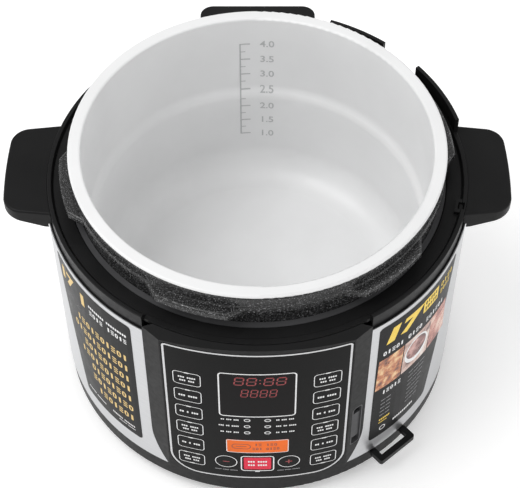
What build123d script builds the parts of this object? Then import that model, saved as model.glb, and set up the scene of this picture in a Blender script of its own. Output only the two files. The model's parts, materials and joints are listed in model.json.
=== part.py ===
from build123d import *

import os
from math import atan2, cos, degrees, radians, sin, sqrt

# Electric pressure cooker of about five litres, with its lid taken off.
#
# Millimetres. +Z is up, the control panel faces -Y and +X is to the right.
# Everything is modelled about the pot's axis. The last lines move it, so that the
# origin lies on the table under the middle of the whole cooker.
# An azimuth is an angle about the pot's axis: 0 is the front, 90 the right side,
# 180 the rear and -90 the left side.

# ---- Driving dimensions -------------------------------------------------------

rim_height = 210.0  # table to the top of the inner pot's rim
pot_radius = 110.8  # inside of the inner pot's upper wall
pot_step = 3.3  # the wall narrows by this below the ledge
pot_depth = 146.0  # rim to the inner pot's floor
pot_wall = 2.0
pot_floor = 2.5
pot_rim_overhang = 6.2  # rim beyond the inner pot's outer wall
pot_rim_thickness = 3.0
pot_ledge_depth = 65.5  # rim to the start of the ledge
pot_ledge_height = 6.0
pot_ledge_corner = 11.0  # inside radius above and below the ledge
pot_corner = 22.0  # inside radius between floor and wall

rest_gap = 0.3  # between pieces that rest on each other
fit_gap = 0.2  # between trim pieces that line up with each other
pin_gap = 0.1  # round a screw, stud or blade in its hole
slip_gap = 0.3  # round a piece that slides

small_screw_radius = 1.5  # ring, handle and inlet screws
base_screw_radius = 2.0
board_screw_radius = 0.9

# Outer pot, which takes the pressure and locks the lid with its lugs
outer_pot_gap = 2.2  # inner pot to outer pot
outer_pot_wall = 2.0
outer_pot_floor = 2.2
outer_pot_clearance = 14.3  # inner pot's underside to the outer pot's floor
collar_width = 3.6
lug_count = 6
lug_azimuth = 41.5  # of the lug at the right of the panel
lug_reach = 6.2  # of a lug beyond the flange
lug_angle = 31.0  # width of a lug at its root
lug_ramp_angle = 5.0
lug_thickness = 4.5
lug_drop = 12.0  # rim to the top of the lugs
lug_edge = 1.8  # rounding of a lug's upper edge
hanger_thickness = 2.0
hanger_reach = 13.0
hanger_screws = (60.0, 120.0, 180.0, 240.0, 300.0)

# Heat shield and steel shell
shield_gap = 2.7
shield_sheet = 0.8
shield_foot_height = 30.0
shield_lip = 16.5
service_gap = 14.9  # heat shield to the inside of the steel shell
shell_sheet = 0.6

# Upper ring
ring_drop = 26.0  # rim to the top of the ring's outer wall
ring_trench = 3.0  # ring's top to its floor
ring_floor = 2.5
ring_wall = 2.5
ring_wall_height = 11.0
ring_skirt = 10.0
ring_setback = 1.6  # ring's wall inside the shell's outer face
ring_bore_gap = 3.8  # outer pot's wall to the ring's lip
rail_height = 12.0
rails = ((104.0, 127.0), (140.0, 158.0))  # azimuths of the two guard rails

# Handles
handle_overhang = 25.5  # of a handle beyond the steel shell
handle_bow = 1.8
handle_front_root = 37.0  # half width in front of the pot's middle
handle_front_tip = 32.5
handle_rear_root = 40.5
handle_rear_tip = 35.5
handle_corner = 13.0
handle_thickness = 13.0  # at its root
handle_tip_thickness = 6.5
handle_wall = 2.4
handle_ceiling = 3.0
tongue_half_width = 24.0
tongue_length = 20.0
tongue_thickness = 3.0
handle_screw_spread = 15.0

# Base
foot_height = 9.0
foot_radius = 12.0
foot_stem_radius = 4.8
foot_inset = 31.3  # from the base's edge to the middle of a foot
foot_azimuths = (45.0, 135.0, 225.0, 315.0)
base_floor = 3.0
base_band_height = 15.0
base_wall = 3.0
base_upstand = 8.0
base_edge = 1.8
vent_width = 3.0
vent_length = 36.0
vent_circle = 68.0
vent_azimuths = [middle + step * 10 for middle in (0, 180) for step in range(-4, 5)]
base_screw_inset = 25.3
base_screw_azimuths = (20.0, 160.0, 200.0, 340.0)
base_boss_radius = 6.0

# Heating plate, pressure sensing and thermostats
heater_radius = 92.0
heater_thickness = 8.2
heater_coil_radius = 70.0
heater_coil_tube = 4.0
heater_bore = 17.0
stud_circle = 45.0
stud_radius = 3.0
stud_azimuths = (0.0, 120.0, 240.0)
nut_height = 3.0
nut_radius = 5.8
spacer_radius = 6.0
disc_radius = 80.0
disc_drop = 7.5  # outer pot's underside to the elastic disc
disc_sheet = 1.5
disc_bore = 8.0
disc_dish_radius = 15.0
disc_dish = 2.0
switch_y = 22.5
switch_size = (28.0, 14.0, 13.0)
bracket_width = 16.0
bracket_sheet = 1.5
bracket_half_length = 28.0
cutoff_radius = 7.0
cutoff_x = -30.0
cutoff_y = -34.0
sensor_radius = 15.2
sensor_wall = 1.2
sensor_height = 12.2
sensor_travel = 3.0
guide_flange_radius = 26.0
guide_flange = 1.5
guide_height = 10.0
terminal_azimuths = (160.0, 200.0)
terminal_radius = 2.0
terminal_bush_radius = 4.0
terminal_hole_radius = 6.0

# Control panel: a face of large radius between two flat cheeks
panel_radius = 175.0
panel_setback = 0.6  # panel's front behind the shell's radius
cheek_half_width = 59.0  # to the crease between face and cheek
cheek_sweep = (12.0, 38.0)  # how far the cheek's edge draws in at its foot, over what height
housing_half_angle = 30.5
housing_wall = 2.4
housing_top_drop = 30.0  # rim to the top of the housing
housing_roof_slope = 0.88  # fall of its roof for each unit outwards
housing_flange = 2.2
housing_flange_angle = 4.5
fascia_thickness = 2.0
fascia_half_width = 58.0
fascia_top_drop = 36.4  # rim to the fascia's top edge
fascia_bottom = 26.0  # table to the fascia's bottom edge
fascia_top_corner = 3.0
fascia_bottom_corner = 20.0
fascia_ledge = 4.4  # that the housing leaves behind the fascia's edge
housing_opening_corner = 8.0

# Keys. Heights are given from the table.
key_column_x = 43.2
key_width = 18.2
key_height = 14.8
key_corner = 2.5
key_first_z = 139.6  # middle of the top pair
key_pitch = 19.1
key_rows = 6
key_flange = 0.6
key_flange_thickness = 1.0
key_stem_radius = 1.5
key_stem_entry = 0.8
key_gap = 0.2
program_key = (0.0, 67.2, 40.8, 16.3, 1.5)  # x, z, width, height, corner
start_key = (0.0, 45.6, 18.4, 15.6, 1.5)
round_key_x = 20.6
round_key_z = 46.6
round_key_radius = 7.8

# Display, indicators and circuit boards
display_z = 128.3
display_width = 46.4
display_height = 47.4
display_corner = 2.0
module_width = 40.0
module_height = 40.0
module_gap = 2.4
light_pipe_radius = 1.6
light_pipe_x = 6.5
light_pipe_heights = (99.7, 92.2, 84.7)
led_size = 2.8
led_height = 1.2
board_half_width = 50.0
board_thickness = 1.6
board_gap = 0.5  # behind the board
board_edge_gap = 1.0
board_posts = ((-40.0, 1), (40.0, 1), (-30.0, -1), (30.0, -1))  # x, and top or bottom
board_post_radius = 2.2
tact_size = 6.0
tact_height = 2.4
tact_bore_radius = 1.8
tact_bore_depth = 2.0
power_board_x = -72.0
power_board_size = (44.0, 62.0)
power_board_height = 5.0
power_board_pin_radius = 1.2

# Power inlet, for an appliance coupler with three blades
inlet_z = 41.0
inlet_flange = (50.0, 24.0, 2.0)
inlet_body = (28.0, 20.0, 22.0)
inlet_socket = (24.4, 16.4, 17.0)
inlet_chamfer = 5.0
inlet_screw_spread = 20.0
inlet_blades = ((-7.0, -2.0), (7.0, -2.0), (0.0, 2.0))
blade_size = (2.0, 4.0)
blade_recess = 2.2
blade_tail = 4.0
inlet_pad_height = 33.0
inlet_pad_proud = 0.2

# Lid position switch, beside the right handle
plunger_azimuth = 77.0
plunger_inset = 3.0  # from the ring's face to the middle of the plunger
plunger_size = (3.4, 5.0)
plunger_drop = 27.4  # rim to its top
plunger_travel = 3.0
plunger_flange = (6.0, 8.0, 1.5)
plunger_stem_radius = 1.4
plunger_stem_length = 9.7
guide_block = (6.4, 11.0, 10.5)
lid_switch_size = (7.0, 19.8, 10.0)
lid_bracket_sheet = 1.5

# Condensate collector, on rails behind the ring
collector_half_width = 40.0
collector_overhang = 19.0  # of the shelf beyond the steel shell
collector_height = 44.8
collector_wall = 1.6
collector_grip = 1.0
rail_foot = 1.6
rail_leg = 1.7
rail_grip = 2.3

# Utensil holder: a pocket in the right cheek and a loop on the base
pocket_width = 8.6
pocket_corner = 3.0
pocket_top = 93.0
pocket_bottom = 48.0
pocket_depth = 8.0
pocket_wall = 1.0
pocket_place = 0.52  # share of the cheek from crease to shell
clip_top = 84.0
clip_bottom = 55.0
clip_recess = 1.2
clip_thickness = 1.6
loop_azimuth = 41.0
loop_half_width = 15.8
loop_bar = 4.2
loop_gap = 6.4  # base band to the loop's outer bar
loop_z = 17.2
loop_height = 4.6

# ---- Sizes that follow --------------------------------------------------------

pot_outer = pot_radius + pot_wall
pot_rim_radius = pot_outer + pot_rim_overhang
pot_underside = rim_height - pot_depth - pot_floor
outer_bore = pot_outer + outer_pot_gap
outer_radius = outer_bore + outer_pot_wall
outer_floor_top = pot_underside - outer_pot_clearance
outer_underside = outer_floor_top - outer_pot_floor
collar_top = rim_height - pot_rim_thickness - rest_gap
flange_radius = outer_bore + collar_width + 0.7
lug_top = rim_height - lug_drop
shield_bore = outer_radius + shield_gap
shield_radius = shield_bore + shield_sheet
shell_bore = shield_radius + service_gap
shell_radius = shell_bore + shell_sheet

ring_top = rim_height - ring_drop
ring_floor_top = ring_top - ring_trench
ring_underside = ring_floor_top - ring_floor
ring_radius = shell_radius - ring_setback
ring_bore = outer_radius + ring_bore_gap
ring_step = ring_top - ring_wall_height
plunger_circle = ring_radius - plunger_inset
handle_reach = shell_radius + handle_overhang
rear_reach = shell_radius + collector_overhang
hanger_top = ring_underside - 2.5
hanger_circle = outer_radius + 9.0

base_underside = foot_height
base_floor_top = base_underside + base_floor
base_band_top = base_underside + base_band_height
base_radius = shell_radius - 0.7
foot_circle = base_radius - foot_inset
base_screw_circle = base_radius - base_screw_inset
shell_bottom = base_band_top + fit_gap
shell_top = ring_step - fit_gap

heater_top = pot_underside - rest_gap
heater_underside = heater_top - heater_thickness
disc_top = outer_underside - disc_drop
disc_underside = disc_top - disc_sheet

panel_front = -(shell_radius - panel_setback)
panel_axis_y = panel_front + panel_radius
housing_bottom = base_band_top + rest_gap
housing_top = rim_height - housing_top_drop
fascia_top = rim_height - fascia_top_drop
front_ring_radius = ring_radius - 2.0
board_back = -(shield_radius + board_gap)
board_front = board_back - board_thickness
tact_top = board_front - tact_height

pot_axis_y = -(rear_reach + panel_front) / 2


def panel_y(x, inset=0.0):
    """Y of the panel's face, or of a layer behind it, at the given x."""
    return panel_axis_y - sqrt((panel_radius - inset) ** 2 - x**2)


crease = Vector(cheek_half_width, panel_y(cheek_half_width))
cheek_end = Vector(
    shell_radius * sin(radians(housing_half_angle)),
    -shell_radius * cos(radians(housing_half_angle)),
)


# ---- Building blocks ----------------------------------------------------------


def block(x_span, y_span, z_span):
    """Box between two x, two y and two z values."""
    spans = (x_span, y_span, z_span)
    middle = [(low + high) / 2 for low, high in spans]
    return Pos(*middle) * Box(*[high - low for low, high in spans])


def upright(radius, z_low, z_high, x=0.0, y=0.0):
    """Cylinder that stands between two heights."""
    solid = Cylinder(radius, z_high - z_low, align=(Align.CENTER, Align.CENTER, Align.MIN))
    return Pos(x, y, z_low) * solid


def lying(radius, y_low, y_high, x, z):
    """Cylinder along Y between two y values."""
    return Pos(x, (y_low + y_high) / 2, z) * Rot(90, 0, 0) * Cylinder(radius, y_high - y_low)


def turned(corners, radii=0.0):
    """Solid of revolution about the pot's axis, from (radius, height) corners."""
    points = [(radius, 0, height) for radius, height in corners]
    return revolve(make_face(FilletPolyline(*points, radius=radii, close=True)), Axis.Z)


def wedge(azimuths, radius_in, radius_out, z_low, z_high):
    """Part of a ring between two azimuths."""
    corners = ((radius_in, z_low), (radius_out, z_low), (radius_out, z_high), (radius_in, z_high))
    section = make_face(Polyline(*[(r, 0, z) for r, z in corners], close=True))
    start, end = azimuths
    return Rot(0, 0, start - 90) * revolve(section, Axis.Z, revolution_arc=end - start)


def around(azimuth, radius=0.0):
    """Place on a circle about the pot's axis, with local X pointing outwards."""
    return Rot(0, 0, azimuth - 90) * Pos(radius, 0, 0)


def point_at(azimuth, radius):
    """x and y of a point on a circle about the pot's axis."""
    return radius * sin(radians(azimuth)), -radius * cos(radians(azimuth))


def screw(radius, head_radius, head_height, length):
    """Screw that points up from z = 0 at the underside of its head's seat."""
    head = upright(head_radius, -head_height, 0)
    return head + upright(radius, 0, length)


def coil_spring(radius, wire_radius, z_low, z_high, turns):
    """Round-wire spring between two heights, about the local Z axis."""
    height = z_high - z_low - 2 * wire_radius
    path = Helix(pitch=height / turns, height=height, radius=radius)
    start = Plane(origin=path @ 0, z_dir=path % 0)
    return Pos(0, 0, z_low + wire_radius) * sweep(start * Circle(wire_radius), path=path)


def front_prism(sketch):
    """Prism along Y through the panel, from a sketch in x and z."""
    behind = -(shield_radius - 20)
    return extrude(Plane.XZ.offset(-behind) * sketch, amount=50 + service_gap)


def panel_layer(inset_front, inset_back):
    """Tube about the panel's own axis, between two depths behind its face."""
    height = rim_height + 20
    outer = upright(panel_radius - inset_front, 0, height, 0, panel_axis_y)
    return outer - upright(panel_radius - inset_back, -1, height + 1, 0, panel_axis_y)


# ---- Pots ---------------------------------------------------------------------


def make_inner_pot():
    ledge_top = rim_height - pot_ledge_depth
    ledge_bottom = ledge_top - pot_ledge_height
    lower = pot_radius - pot_step
    rim_under = rim_height - pot_rim_thickness
    corners = [
        (0, pot_underside),
        (lower + pot_wall, pot_underside),
        (lower + pot_wall, ledge_bottom),
        (pot_outer, ledge_top),
        (pot_outer, rim_under),
        (pot_rim_radius, rim_under),
        (pot_rim_radius, rim_height),
        (pot_radius, rim_height),
        (pot_radius, ledge_top),
        (lower, ledge_bottom),
        (lower, pot_underside + pot_floor),
        (0, pot_underside + pot_floor),
    ]
    radii = [0, pot_corner + pot_wall, 1.5, 1.5, 0.8, 1.3, 1.3, 1.6]
    radii += [pot_ledge_corner, pot_ledge_corner, pot_corner, 0]
    return turned(corners, radii)


def make_outer_pot():
    corners = [
        (heater_bore, outer_underside),
        (outer_radius, outer_underside),
        (outer_radius, hanger_top - hanger_thickness),
        (outer_radius + hanger_reach, hanger_top - hanger_thickness),
        (outer_radius + hanger_reach, hanger_top),
        (outer_radius, hanger_top),
        (outer_radius, lug_top - lug_thickness),
        (flange_radius, lug_top - lug_thickness),
        (flange_radius, lug_top),
        (outer_bore + collar_width, lug_top + 1.2),
        (outer_bore + collar_width, collar_top),
        (outer_bore, collar_top),
        (outer_bore, outer_floor_top),
        (heater_bore, outer_floor_top),
    ]
    radii = [0, pot_corner, 0, 0, 0, 0, 0, 0.8, 0.8, 0.8, 1.2, 1.2, pot_corner - 2, 0]
    pot = turned(corners, radii)
    for index in range(lug_count):
        pot += around(lug_azimuth + index * 360 / lug_count) * make_lug()
    front = housing_half_angle + housing_flange_angle + 1
    pot -= wedge((-front, front), outer_radius, shell_bore, hanger_top - 3, hanger_top + 1)
    beside = (plunger_azimuth - 5.5, plunger_azimuth + 5.5)
    inside = plunger_circle - 7.2
    pot -= wedge(beside, inside, shell_bore, hanger_top - 3, hanger_top + 1)
    for azimuth in hanger_screws:
        x, y = point_at(azimuth, hanger_circle)
        pot -= upright(small_screw_radius + pin_gap, hanger_top - 3, hanger_top + 1, x, y)
    for azimuth in stud_azimuths:
        x, y = point_at(azimuth, stud_circle)
        pot -= upright(stud_radius + pin_gap, outer_underside - 1, outer_floor_top + 1, x, y)
    for azimuth in terminal_azimuths:
        x, y = point_at(azimuth, heater_coil_radius)
        pot -= upright(terminal_hole_radius, outer_underside - 1, outer_floor_top + 1, x, y)
    return pot


def make_lug():
    """One lid lug, about local X."""
    half = lug_angle / 2
    flat = half - lug_ramp_angle
    reach = flange_radius + lug_reach

    def corner(angle, radius):
        return radius * cos(radians(angle)), radius * sin(radians(angle))

    root = flange_radius - 0.2
    outline = [
        Line(corner(-half, root), corner(-flat, reach)),
        ThreePointArc(corner(-flat, reach), (reach, 0), corner(flat, reach)),
        Line(corner(flat, reach), corner(half, root)),
        Line(corner(half, root), corner(half, outer_radius)),
        ThreePointArc(
            corner(half, outer_radius), (outer_radius, 0), corner(-half, outer_radius)
        ),
        Line(corner(-half, outer_radius), corner(-half, root)),
    ]
    lug = extrude(make_face(outline), amount=lug_thickness)
    upper = lug.faces().sort_by(Axis.Z)[-1]
    outer_edges = [edge for edge in upper.edges() if edge.center().X > outer_radius + 1]
    lug = fillet(outer_edges, lug_edge)
    return Pos(0, 0, lug_top - lug_thickness) * lug


def make_ring_seal():
    """Silicone seal between the outer pot and the ring's lip."""
    corners = [
        (outer_radius + rest_gap, ring_underside),
        (ring_bore - rest_gap, ring_underside),
        (ring_bore - rest_gap, ring_floor_top - 0.4),
        (outer_radius + rest_gap, ring_floor_top + 0.8),
    ]
    return turned(corners)


def make_ring_screws():
    seat = hanger_top - hanger_thickness
    length = ring_floor_top - 0.8 - seat - 0.3
    places = [point_at(azimuth, hanger_circle) for azimuth in hanger_screws]
    return [Pos(x, y, seat) * screw(small_screw_radius, 2.8, 2.0, length) for x, y in places]


# ---- Shells -------------------------------------------------------------------


def make_heat_shield():
    top = hanger_top - hanger_thickness - rest_gap
    foot = shield_foot_height
    corners = [
        (shield_radius - shield_lip, foot),
        (shield_radius, foot),
        (shield_radius, top),
        (shield_bore, top),
        (shield_bore, foot + shield_sheet),
        (shield_radius - shield_lip, foot + shield_sheet),
    ]
    shield = turned(corners)
    for azimuth in base_screw_azimuths:
        x, y = point_at(azimuth, base_screw_circle)
        shield -= upright(base_screw_radius + pin_gap, foot - 1, foot + 2, x, y)
    width, height, _ = inlet_body
    half = width / 2 + 3
    notch_top = inlet_z + height / 2 + 4
    return shield - block((-half, half), (0, shell_radius), (foot - 1, notch_top))


def cheek_sketch(grow):
    """Front view of the whole housing: upright sides that draw in at the foot."""
    inset, rise = cheek_sweep
    half = cheek_end.X + grow
    foot = housing_bottom
    outline = [
        TangentArc((half, foot + rise), (half - inset, foot), tangent=(0, -1)),
        Polyline((half - inset, foot), (half - inset, 0), (inset - half, 0), (inset - half, foot)),
        TangentArc((-half, foot + rise), (inset - half, foot), tangent=(0, -1)),
        Polyline((-half, foot + rise), (-half, rim_height), (half, rim_height), (half, foot + rise)),
    ]
    return make_face(outline)


def make_outer_shell():
    shell = upright(shell_radius, shell_bottom, shell_top)
    shell -= upright(shell_bore, shell_bottom - 1, shell_top + 1)
    shell -= front_prism(cheek_sketch(fit_gap))
    half = inlet_flange[0] / 2 + 2 + fit_gap
    pad_top = base_band_top + inlet_pad_height + fit_gap
    return shell - block((-half, half), (0, shell_radius + 5), (0, pad_top))


def make_upper_ring():
    ring = turned(ring_outline(), [0, 0, 0, 0.8, 0, 0, 0.6, 0.6, 0.6, 0.6])
    for azimuths in rails:
        rail = wedge(
            azimuths, ring_radius - ring_wall, ring_radius, ring_top - 2, ring_top + rail_height
        )
        ring += rail
    ring = open_front(ring)
    for side in (-1, 1):
        ring += make_tongue(side)
    ring = add_collector_shelf(ring)
    ring = add_plunger_guide(ring)
    for azimuth in hanger_screws:
        x, y = point_at(azimuth, hanger_circle)
        ring += upright(4.0, hanger_top + rest_gap, ring_underside + 0.5, x, y)
        ring -= upright(small_screw_radius + pin_gap, hanger_top, ring_floor_top - 0.8, x, y)
    return ring


def ring_outline():
    wall_in = ring_radius - ring_wall
    skirt = shell_bore - rest_gap
    return [
        (ring_bore, ring_underside),
        (wall_in, ring_underside),
        (wall_in, ring_step - ring_skirt),
        (skirt, ring_step - ring_skirt),
        (skirt, ring_step),
        (ring_radius, ring_step),
        (ring_radius, ring_top),
        (wall_in - 0.2, ring_top),
        (wall_in - 1.4, ring_floor_top + 0.4),
        (ring_bore, ring_floor_top),
    ]


def open_front(ring):
    """Clear the ring's wall and skirt where the control housing stands."""
    half = housing_half_angle + 0.4
    low = ring_step - ring_skirt - 1
    ring -= wedge((-half, half), front_ring_radius, shell_radius, low, ring_top + 1)
    inside = ring_radius - ring_wall - 3
    ring -= wedge((-half, half), inside, shell_radius, low, ring_underside)
    return ring - wedge((-half, half), inside, shell_radius, ring_floor_top, ring_top + 1)


def make_tongue(side):
    """Plate that a handle is screwed to."""
    top = ring_top - 1 - handle_ceiling - rest_gap
    start = ring_radius - 1
    end = ring_radius + tongue_length
    half = tongue_half_width
    plate = block((start, end), (-half, half), (top - tongue_thickness, top))
    for offset in (-1, 1):
        y = offset * handle_screw_spread
        plate -= upright(small_screw_radius + pin_gap, top - 10, top + 10, handle_screw_x(), y)
    plate -= upright(ring_radius - 1.2, top - 10, top + 10)
    return plate if side > 0 else Rot(0, 0, 180) * plate


def handle_screw_x():
    return ring_radius + tongue_length - 6


def add_collector_shelf(ring):
    """Shelf behind the ring, with a drain and two rails for the collector."""
    shelf_bottom = ring_step + rest_gap
    shelf_top = ring_top - 4
    half = collector_half_width
    shelf = block((-half, half), (ring_radius - 14, rear_reach), (shelf_bottom, shelf_top))
    rear_corners = shelf.edges().filter_by(Axis.Z).group_by(Axis.Y)[-1]
    shelf = fillet(rear_corners, 9.0)
    shelf -= upright(ring_radius - ring_wall + 0.5, 0, rim_height)
    ring += shelf
    front = shell_radius + 0.8
    for side in (-1, 1):
        leg_x = sorted((side * half, side * (half - rail_leg)))
        foot_x = sorted((side * half, side * (half - rail_leg - rail_grip)))
        rear = rear_reach - 8.0
        foot_bottom = shelf_bottom - 0.5 - 1.8 - 0.4 - rail_foot
        ring += block(leg_x, (front, rear), (foot_bottom, shelf_bottom))
        ring += block(foot_x, (front, rear), (foot_bottom, foot_bottom + rail_foot))
    drain_y = (front + rear_reach) / 2
    ring -= upright(3.0, shelf_bottom - 1, shelf_top + 1, 0, drain_y)
    channel = (ring_floor_top - 1.3, ring_top + 1)
    return ring - block((-2.5, 2.5), (ring_radius - 8, drain_y), channel)


def add_plunger_guide(ring):
    """Boss and sleeve that guide the lid position plunger."""
    radial, tangential = plunger_size
    width, length, depth = guide_block
    place = around(plunger_azimuth, plunger_circle)
    half = width / 2
    sleeve = (ring_underside - depth, ring_top - 0.4)
    edge = ring_radius - 0.5 - plunger_circle
    ring += place * block((-half - 0.6, edge), (-length / 2, length / 2), sleeve)
    hole_x = radial / 2 + slip_gap
    hole_y = tangential / 2 + slip_gap
    ring -= place * block((-hole_x, hole_x), (-hole_y, hole_y), (sleeve[0] - 9, sleeve[1] + 2))
    room = (ring_step - ring_skirt - 1, ring_underside - depth)
    return ring - place * block((-6, 6), (-9.0, 9.0), room)


def make_handle():
    """Right handle: a shell, open below, that slides over the ring's tongue."""
    top = ring_top - 1
    bottom = top - handle_thickness
    solid = extrude(Pos(0, 0, bottom) * handle_outline(0), amount=handle_thickness)
    tip_edges = solid.edges().filter_by(Axis.Z).group_by(Axis.X)[-1]
    solid = fillet(tip_edges, handle_corner)
    hollow = extrude(Pos(0, 0, bottom - 1) * handle_outline(handle_wall), amount=1 + handle_thickness)
    hollow_tip = hollow.edges().filter_by(Axis.Z).group_by(Axis.X)[-1]
    hollow = fillet(hollow_tip, handle_corner - handle_wall)
    hollow -= block((0, 300), (-100, 100), (top - handle_ceiling, top + 5))
    root_wall = upright(ring_radius + fit_gap + handle_wall, bottom - 2, top + 2)
    pass_half = tongue_half_width + 1
    passage = block((0, 200), (-pass_half, pass_half), (bottom - 2, top - handle_ceiling))
    hollow = hollow - (root_wall - passage)
    upper = solid.faces().sort_by(Axis.Z)[-1]
    rim_edges = [edge for edge in upper.edges() if edge.center().X > ring_radius - 10]
    solid = fillet(rim_edges, 1.5)
    solid -= hollow
    solid -= upright(ring_radius + fit_gap, bottom - 2, top + 2)
    solid -= upright(shell_radius + 0.5, bottom - 2, ring_step + 0.2)
    rise = degrees(atan2(handle_thickness - handle_tip_thickness, handle_reach - ring_radius))
    under = block((-5, 60), (-60, 60), (-handle_thickness, 0))
    solid -= Pos(ring_radius, 0, bottom) * Rot(0, -rise, 0) * under
    for offset in (-1, 1):
        hole_top = top - 1.0
        y = offset * handle_screw_spread
        solid -= upright(small_screw_radius + pin_gap, bottom, hole_top, handle_screw_x(), y)
    return solid


def handle_outline(inset):
    tip = handle_reach - handle_bow - inset
    front_tip = handle_front_tip - inset
    rear_tip = handle_rear_tip - inset
    front_root = handle_front_root - inset
    rear_root = handle_rear_root - inset
    root = ring_radius - 15
    outline = [
        Line((root, -front_root), (tip, -front_tip)),
        ThreePointArc((tip, -front_tip), (handle_reach - inset, 0), (tip, rear_tip)),
        Line((tip, rear_tip), (root, rear_root)),
        Line((root, rear_root), (root, -front_root)),
    ]
    return make_face(outline)


def make_handle_screws():
    tongue_top = ring_top - 1 - handle_ceiling - rest_gap
    seat = tongue_top - tongue_thickness
    length = ring_top - 2.3 - seat
    places = [
        (side * handle_screw_x(), offset * handle_screw_spread)
        for side in (-1, 1)
        for offset in (-1, 1)
    ]
    return [Pos(x, y, seat) * screw(small_screw_radius, 3.0, 2.2, length) for x, y in places]


# ---- Base ---------------------------------------------------------------------


def make_base_tray():
    wall_in = base_radius - base_wall
    upstand = shell_bore - 0.4
    corners = [
        (0, base_underside),
        (base_radius, base_underside),
        (base_radius, base_band_top),
        (upstand, base_band_top),
        (upstand, base_band_top + base_upstand),
        (wall_in, base_band_top + base_upstand),
        (wall_in, base_floor_top),
        (0, base_floor_top),
    ]
    tray = turned(corners, [0, base_edge, 0, 0, 0, 0, 1.0, 0])
    front = housing_half_angle + housing_flange_angle + 1
    tray -= wedge((-front, front), wall_in - 2, base_radius + 1, base_band_top, rim_height)
    for azimuth in base_screw_azimuths:
        x, y = point_at(azimuth, base_screw_circle)
        boss_top = shield_foot_height - rest_gap
        tray += upright(base_boss_radius, base_floor_top - 1, boss_top, x, y)
        tray -= upright(base_screw_radius + slip_gap, base_underside, boss_top + 1, x, y)
        tray -= upright(4.5, base_underside - 1, base_underside + 9, x, y)
    for azimuth in foot_azimuths:
        x, y = point_at(azimuth, foot_circle)
        tray -= upright(foot_stem_radius + fit_gap, 0, base_floor_top + 1, x, y)
    for azimuth in vent_azimuths:
        vent = Box(vent_length, vent_width, 4 * base_floor)
        tray -= around(azimuth, vent_circle) * Pos(0, 0, base_underside) * vent
    for x, y in power_board_pegs():
        peg_top = base_floor_top + power_board_height
        tray += upright(3.0, base_floor_top - 1, peg_top, x, y)
        tray += upright(power_board_pin_radius, peg_top - 1, peg_top + 3, x, y)
    tray = add_inlet_pad(tray)
    return cut_loop_sockets(tray)


def add_inlet_pad(tray):
    """Flat pad at the rear that carries the power inlet."""
    half = inlet_flange[0] / 2 + 2
    face = shell_radius + inlet_pad_proud
    pad_top = base_band_top + inlet_pad_height
    tray += block((-half, half), (base_radius - 6, face), (base_band_top - 2, pad_top))
    width, height, _ = inlet_body
    half_x = width / 2 + fit_gap
    half_z = height / 2 + fit_gap
    tray -= block((-half_x, half_x), (100, face + 5), (inlet_z - half_z, inlet_z + half_z))
    for side in (-1, 1):
        x = side * inlet_screw_spread
        tray -= lying(small_screw_radius + pin_gap, base_radius - 10, face + 1, x, inlet_z)
    return tray


def cut_loop_sockets(tray):
    """Two sockets in the band for the prongs of the utensil loop."""
    for side in (-1, 1):
        middle = side * (loop_half_width - loop_bar / 2)
        half = prong_half_width() + fit_gap
        span = (middle - half, middle + half)
        heights = (loop_z + 0.6 - fit_gap, loop_z + loop_height - 0.6 + fit_gap)
        tray -= around(loop_azimuth) * block((base_radius - 12, base_radius + 2), span, heights)
    return tray


def prong_half_width():
    return loop_bar / 2 - 0.6


def power_board_pegs():
    half_x = power_board_size[0] / 2 - 4
    half_y = power_board_size[1] / 2 - 4
    return [(power_board_x + i * half_x, j * half_y) for i in (-1, 1) for j in (-1, 1)]


def make_feet():
    feet = []
    for azimuth in foot_azimuths:
        x, y = point_at(azimuth, foot_circle)
        foot = upright(foot_radius, 0, foot_height)
        foot = chamfer(foot.edges().group_by(Axis.Z)[0], 1.0)
        foot += upright(foot_stem_radius, foot_height - 1, base_floor_top + 0.2)
        foot += upright(foot_stem_radius + 1.2, base_floor_top + 0.2, base_floor_top + 2.2)
        feet.append(Pos(x, y, 0) * foot)
    return feet


def make_base_screws():
    seat = base_underside + 9
    length = shield_foot_height + 3 - seat
    places = [point_at(azimuth, base_screw_circle) for azimuth in base_screw_azimuths]
    return [Pos(x, y, seat) * screw(base_screw_radius, 4.0, 2.6, length) for x, y in places]


def make_holder_loop():
    """Loop for a utensil holder, clipped into the base band."""
    half = loop_half_width
    outside = base_radius + loop_gap + loop_bar
    height = (loop_z, loop_z + loop_height)
    bar = block((outside - loop_bar, outside), (-half, half), height)
    corners = bar.edges().filter_by(Axis.Z).group_by(Axis.X)[-1]
    loop = fillet(corners, 1.8)
    for side in (-1, 1):
        inner = side * (half - loop_bar)
        arm = sorted((side * half, inner))
        loop += block((base_radius - 0.2, outside - 1.9), arm, height)
        middle = side * (half - loop_bar / 2)
        prong = (middle - prong_half_width(), middle + prong_half_width())
        prong_z = (height[0] + 0.6, height[1] - 0.6)
        loop += block((base_radius - base_wall - 1, base_radius), prong, prong_z)
    return around(loop_azimuth) * loop


# ---- Heating and sensing ------------------------------------------------------


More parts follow.
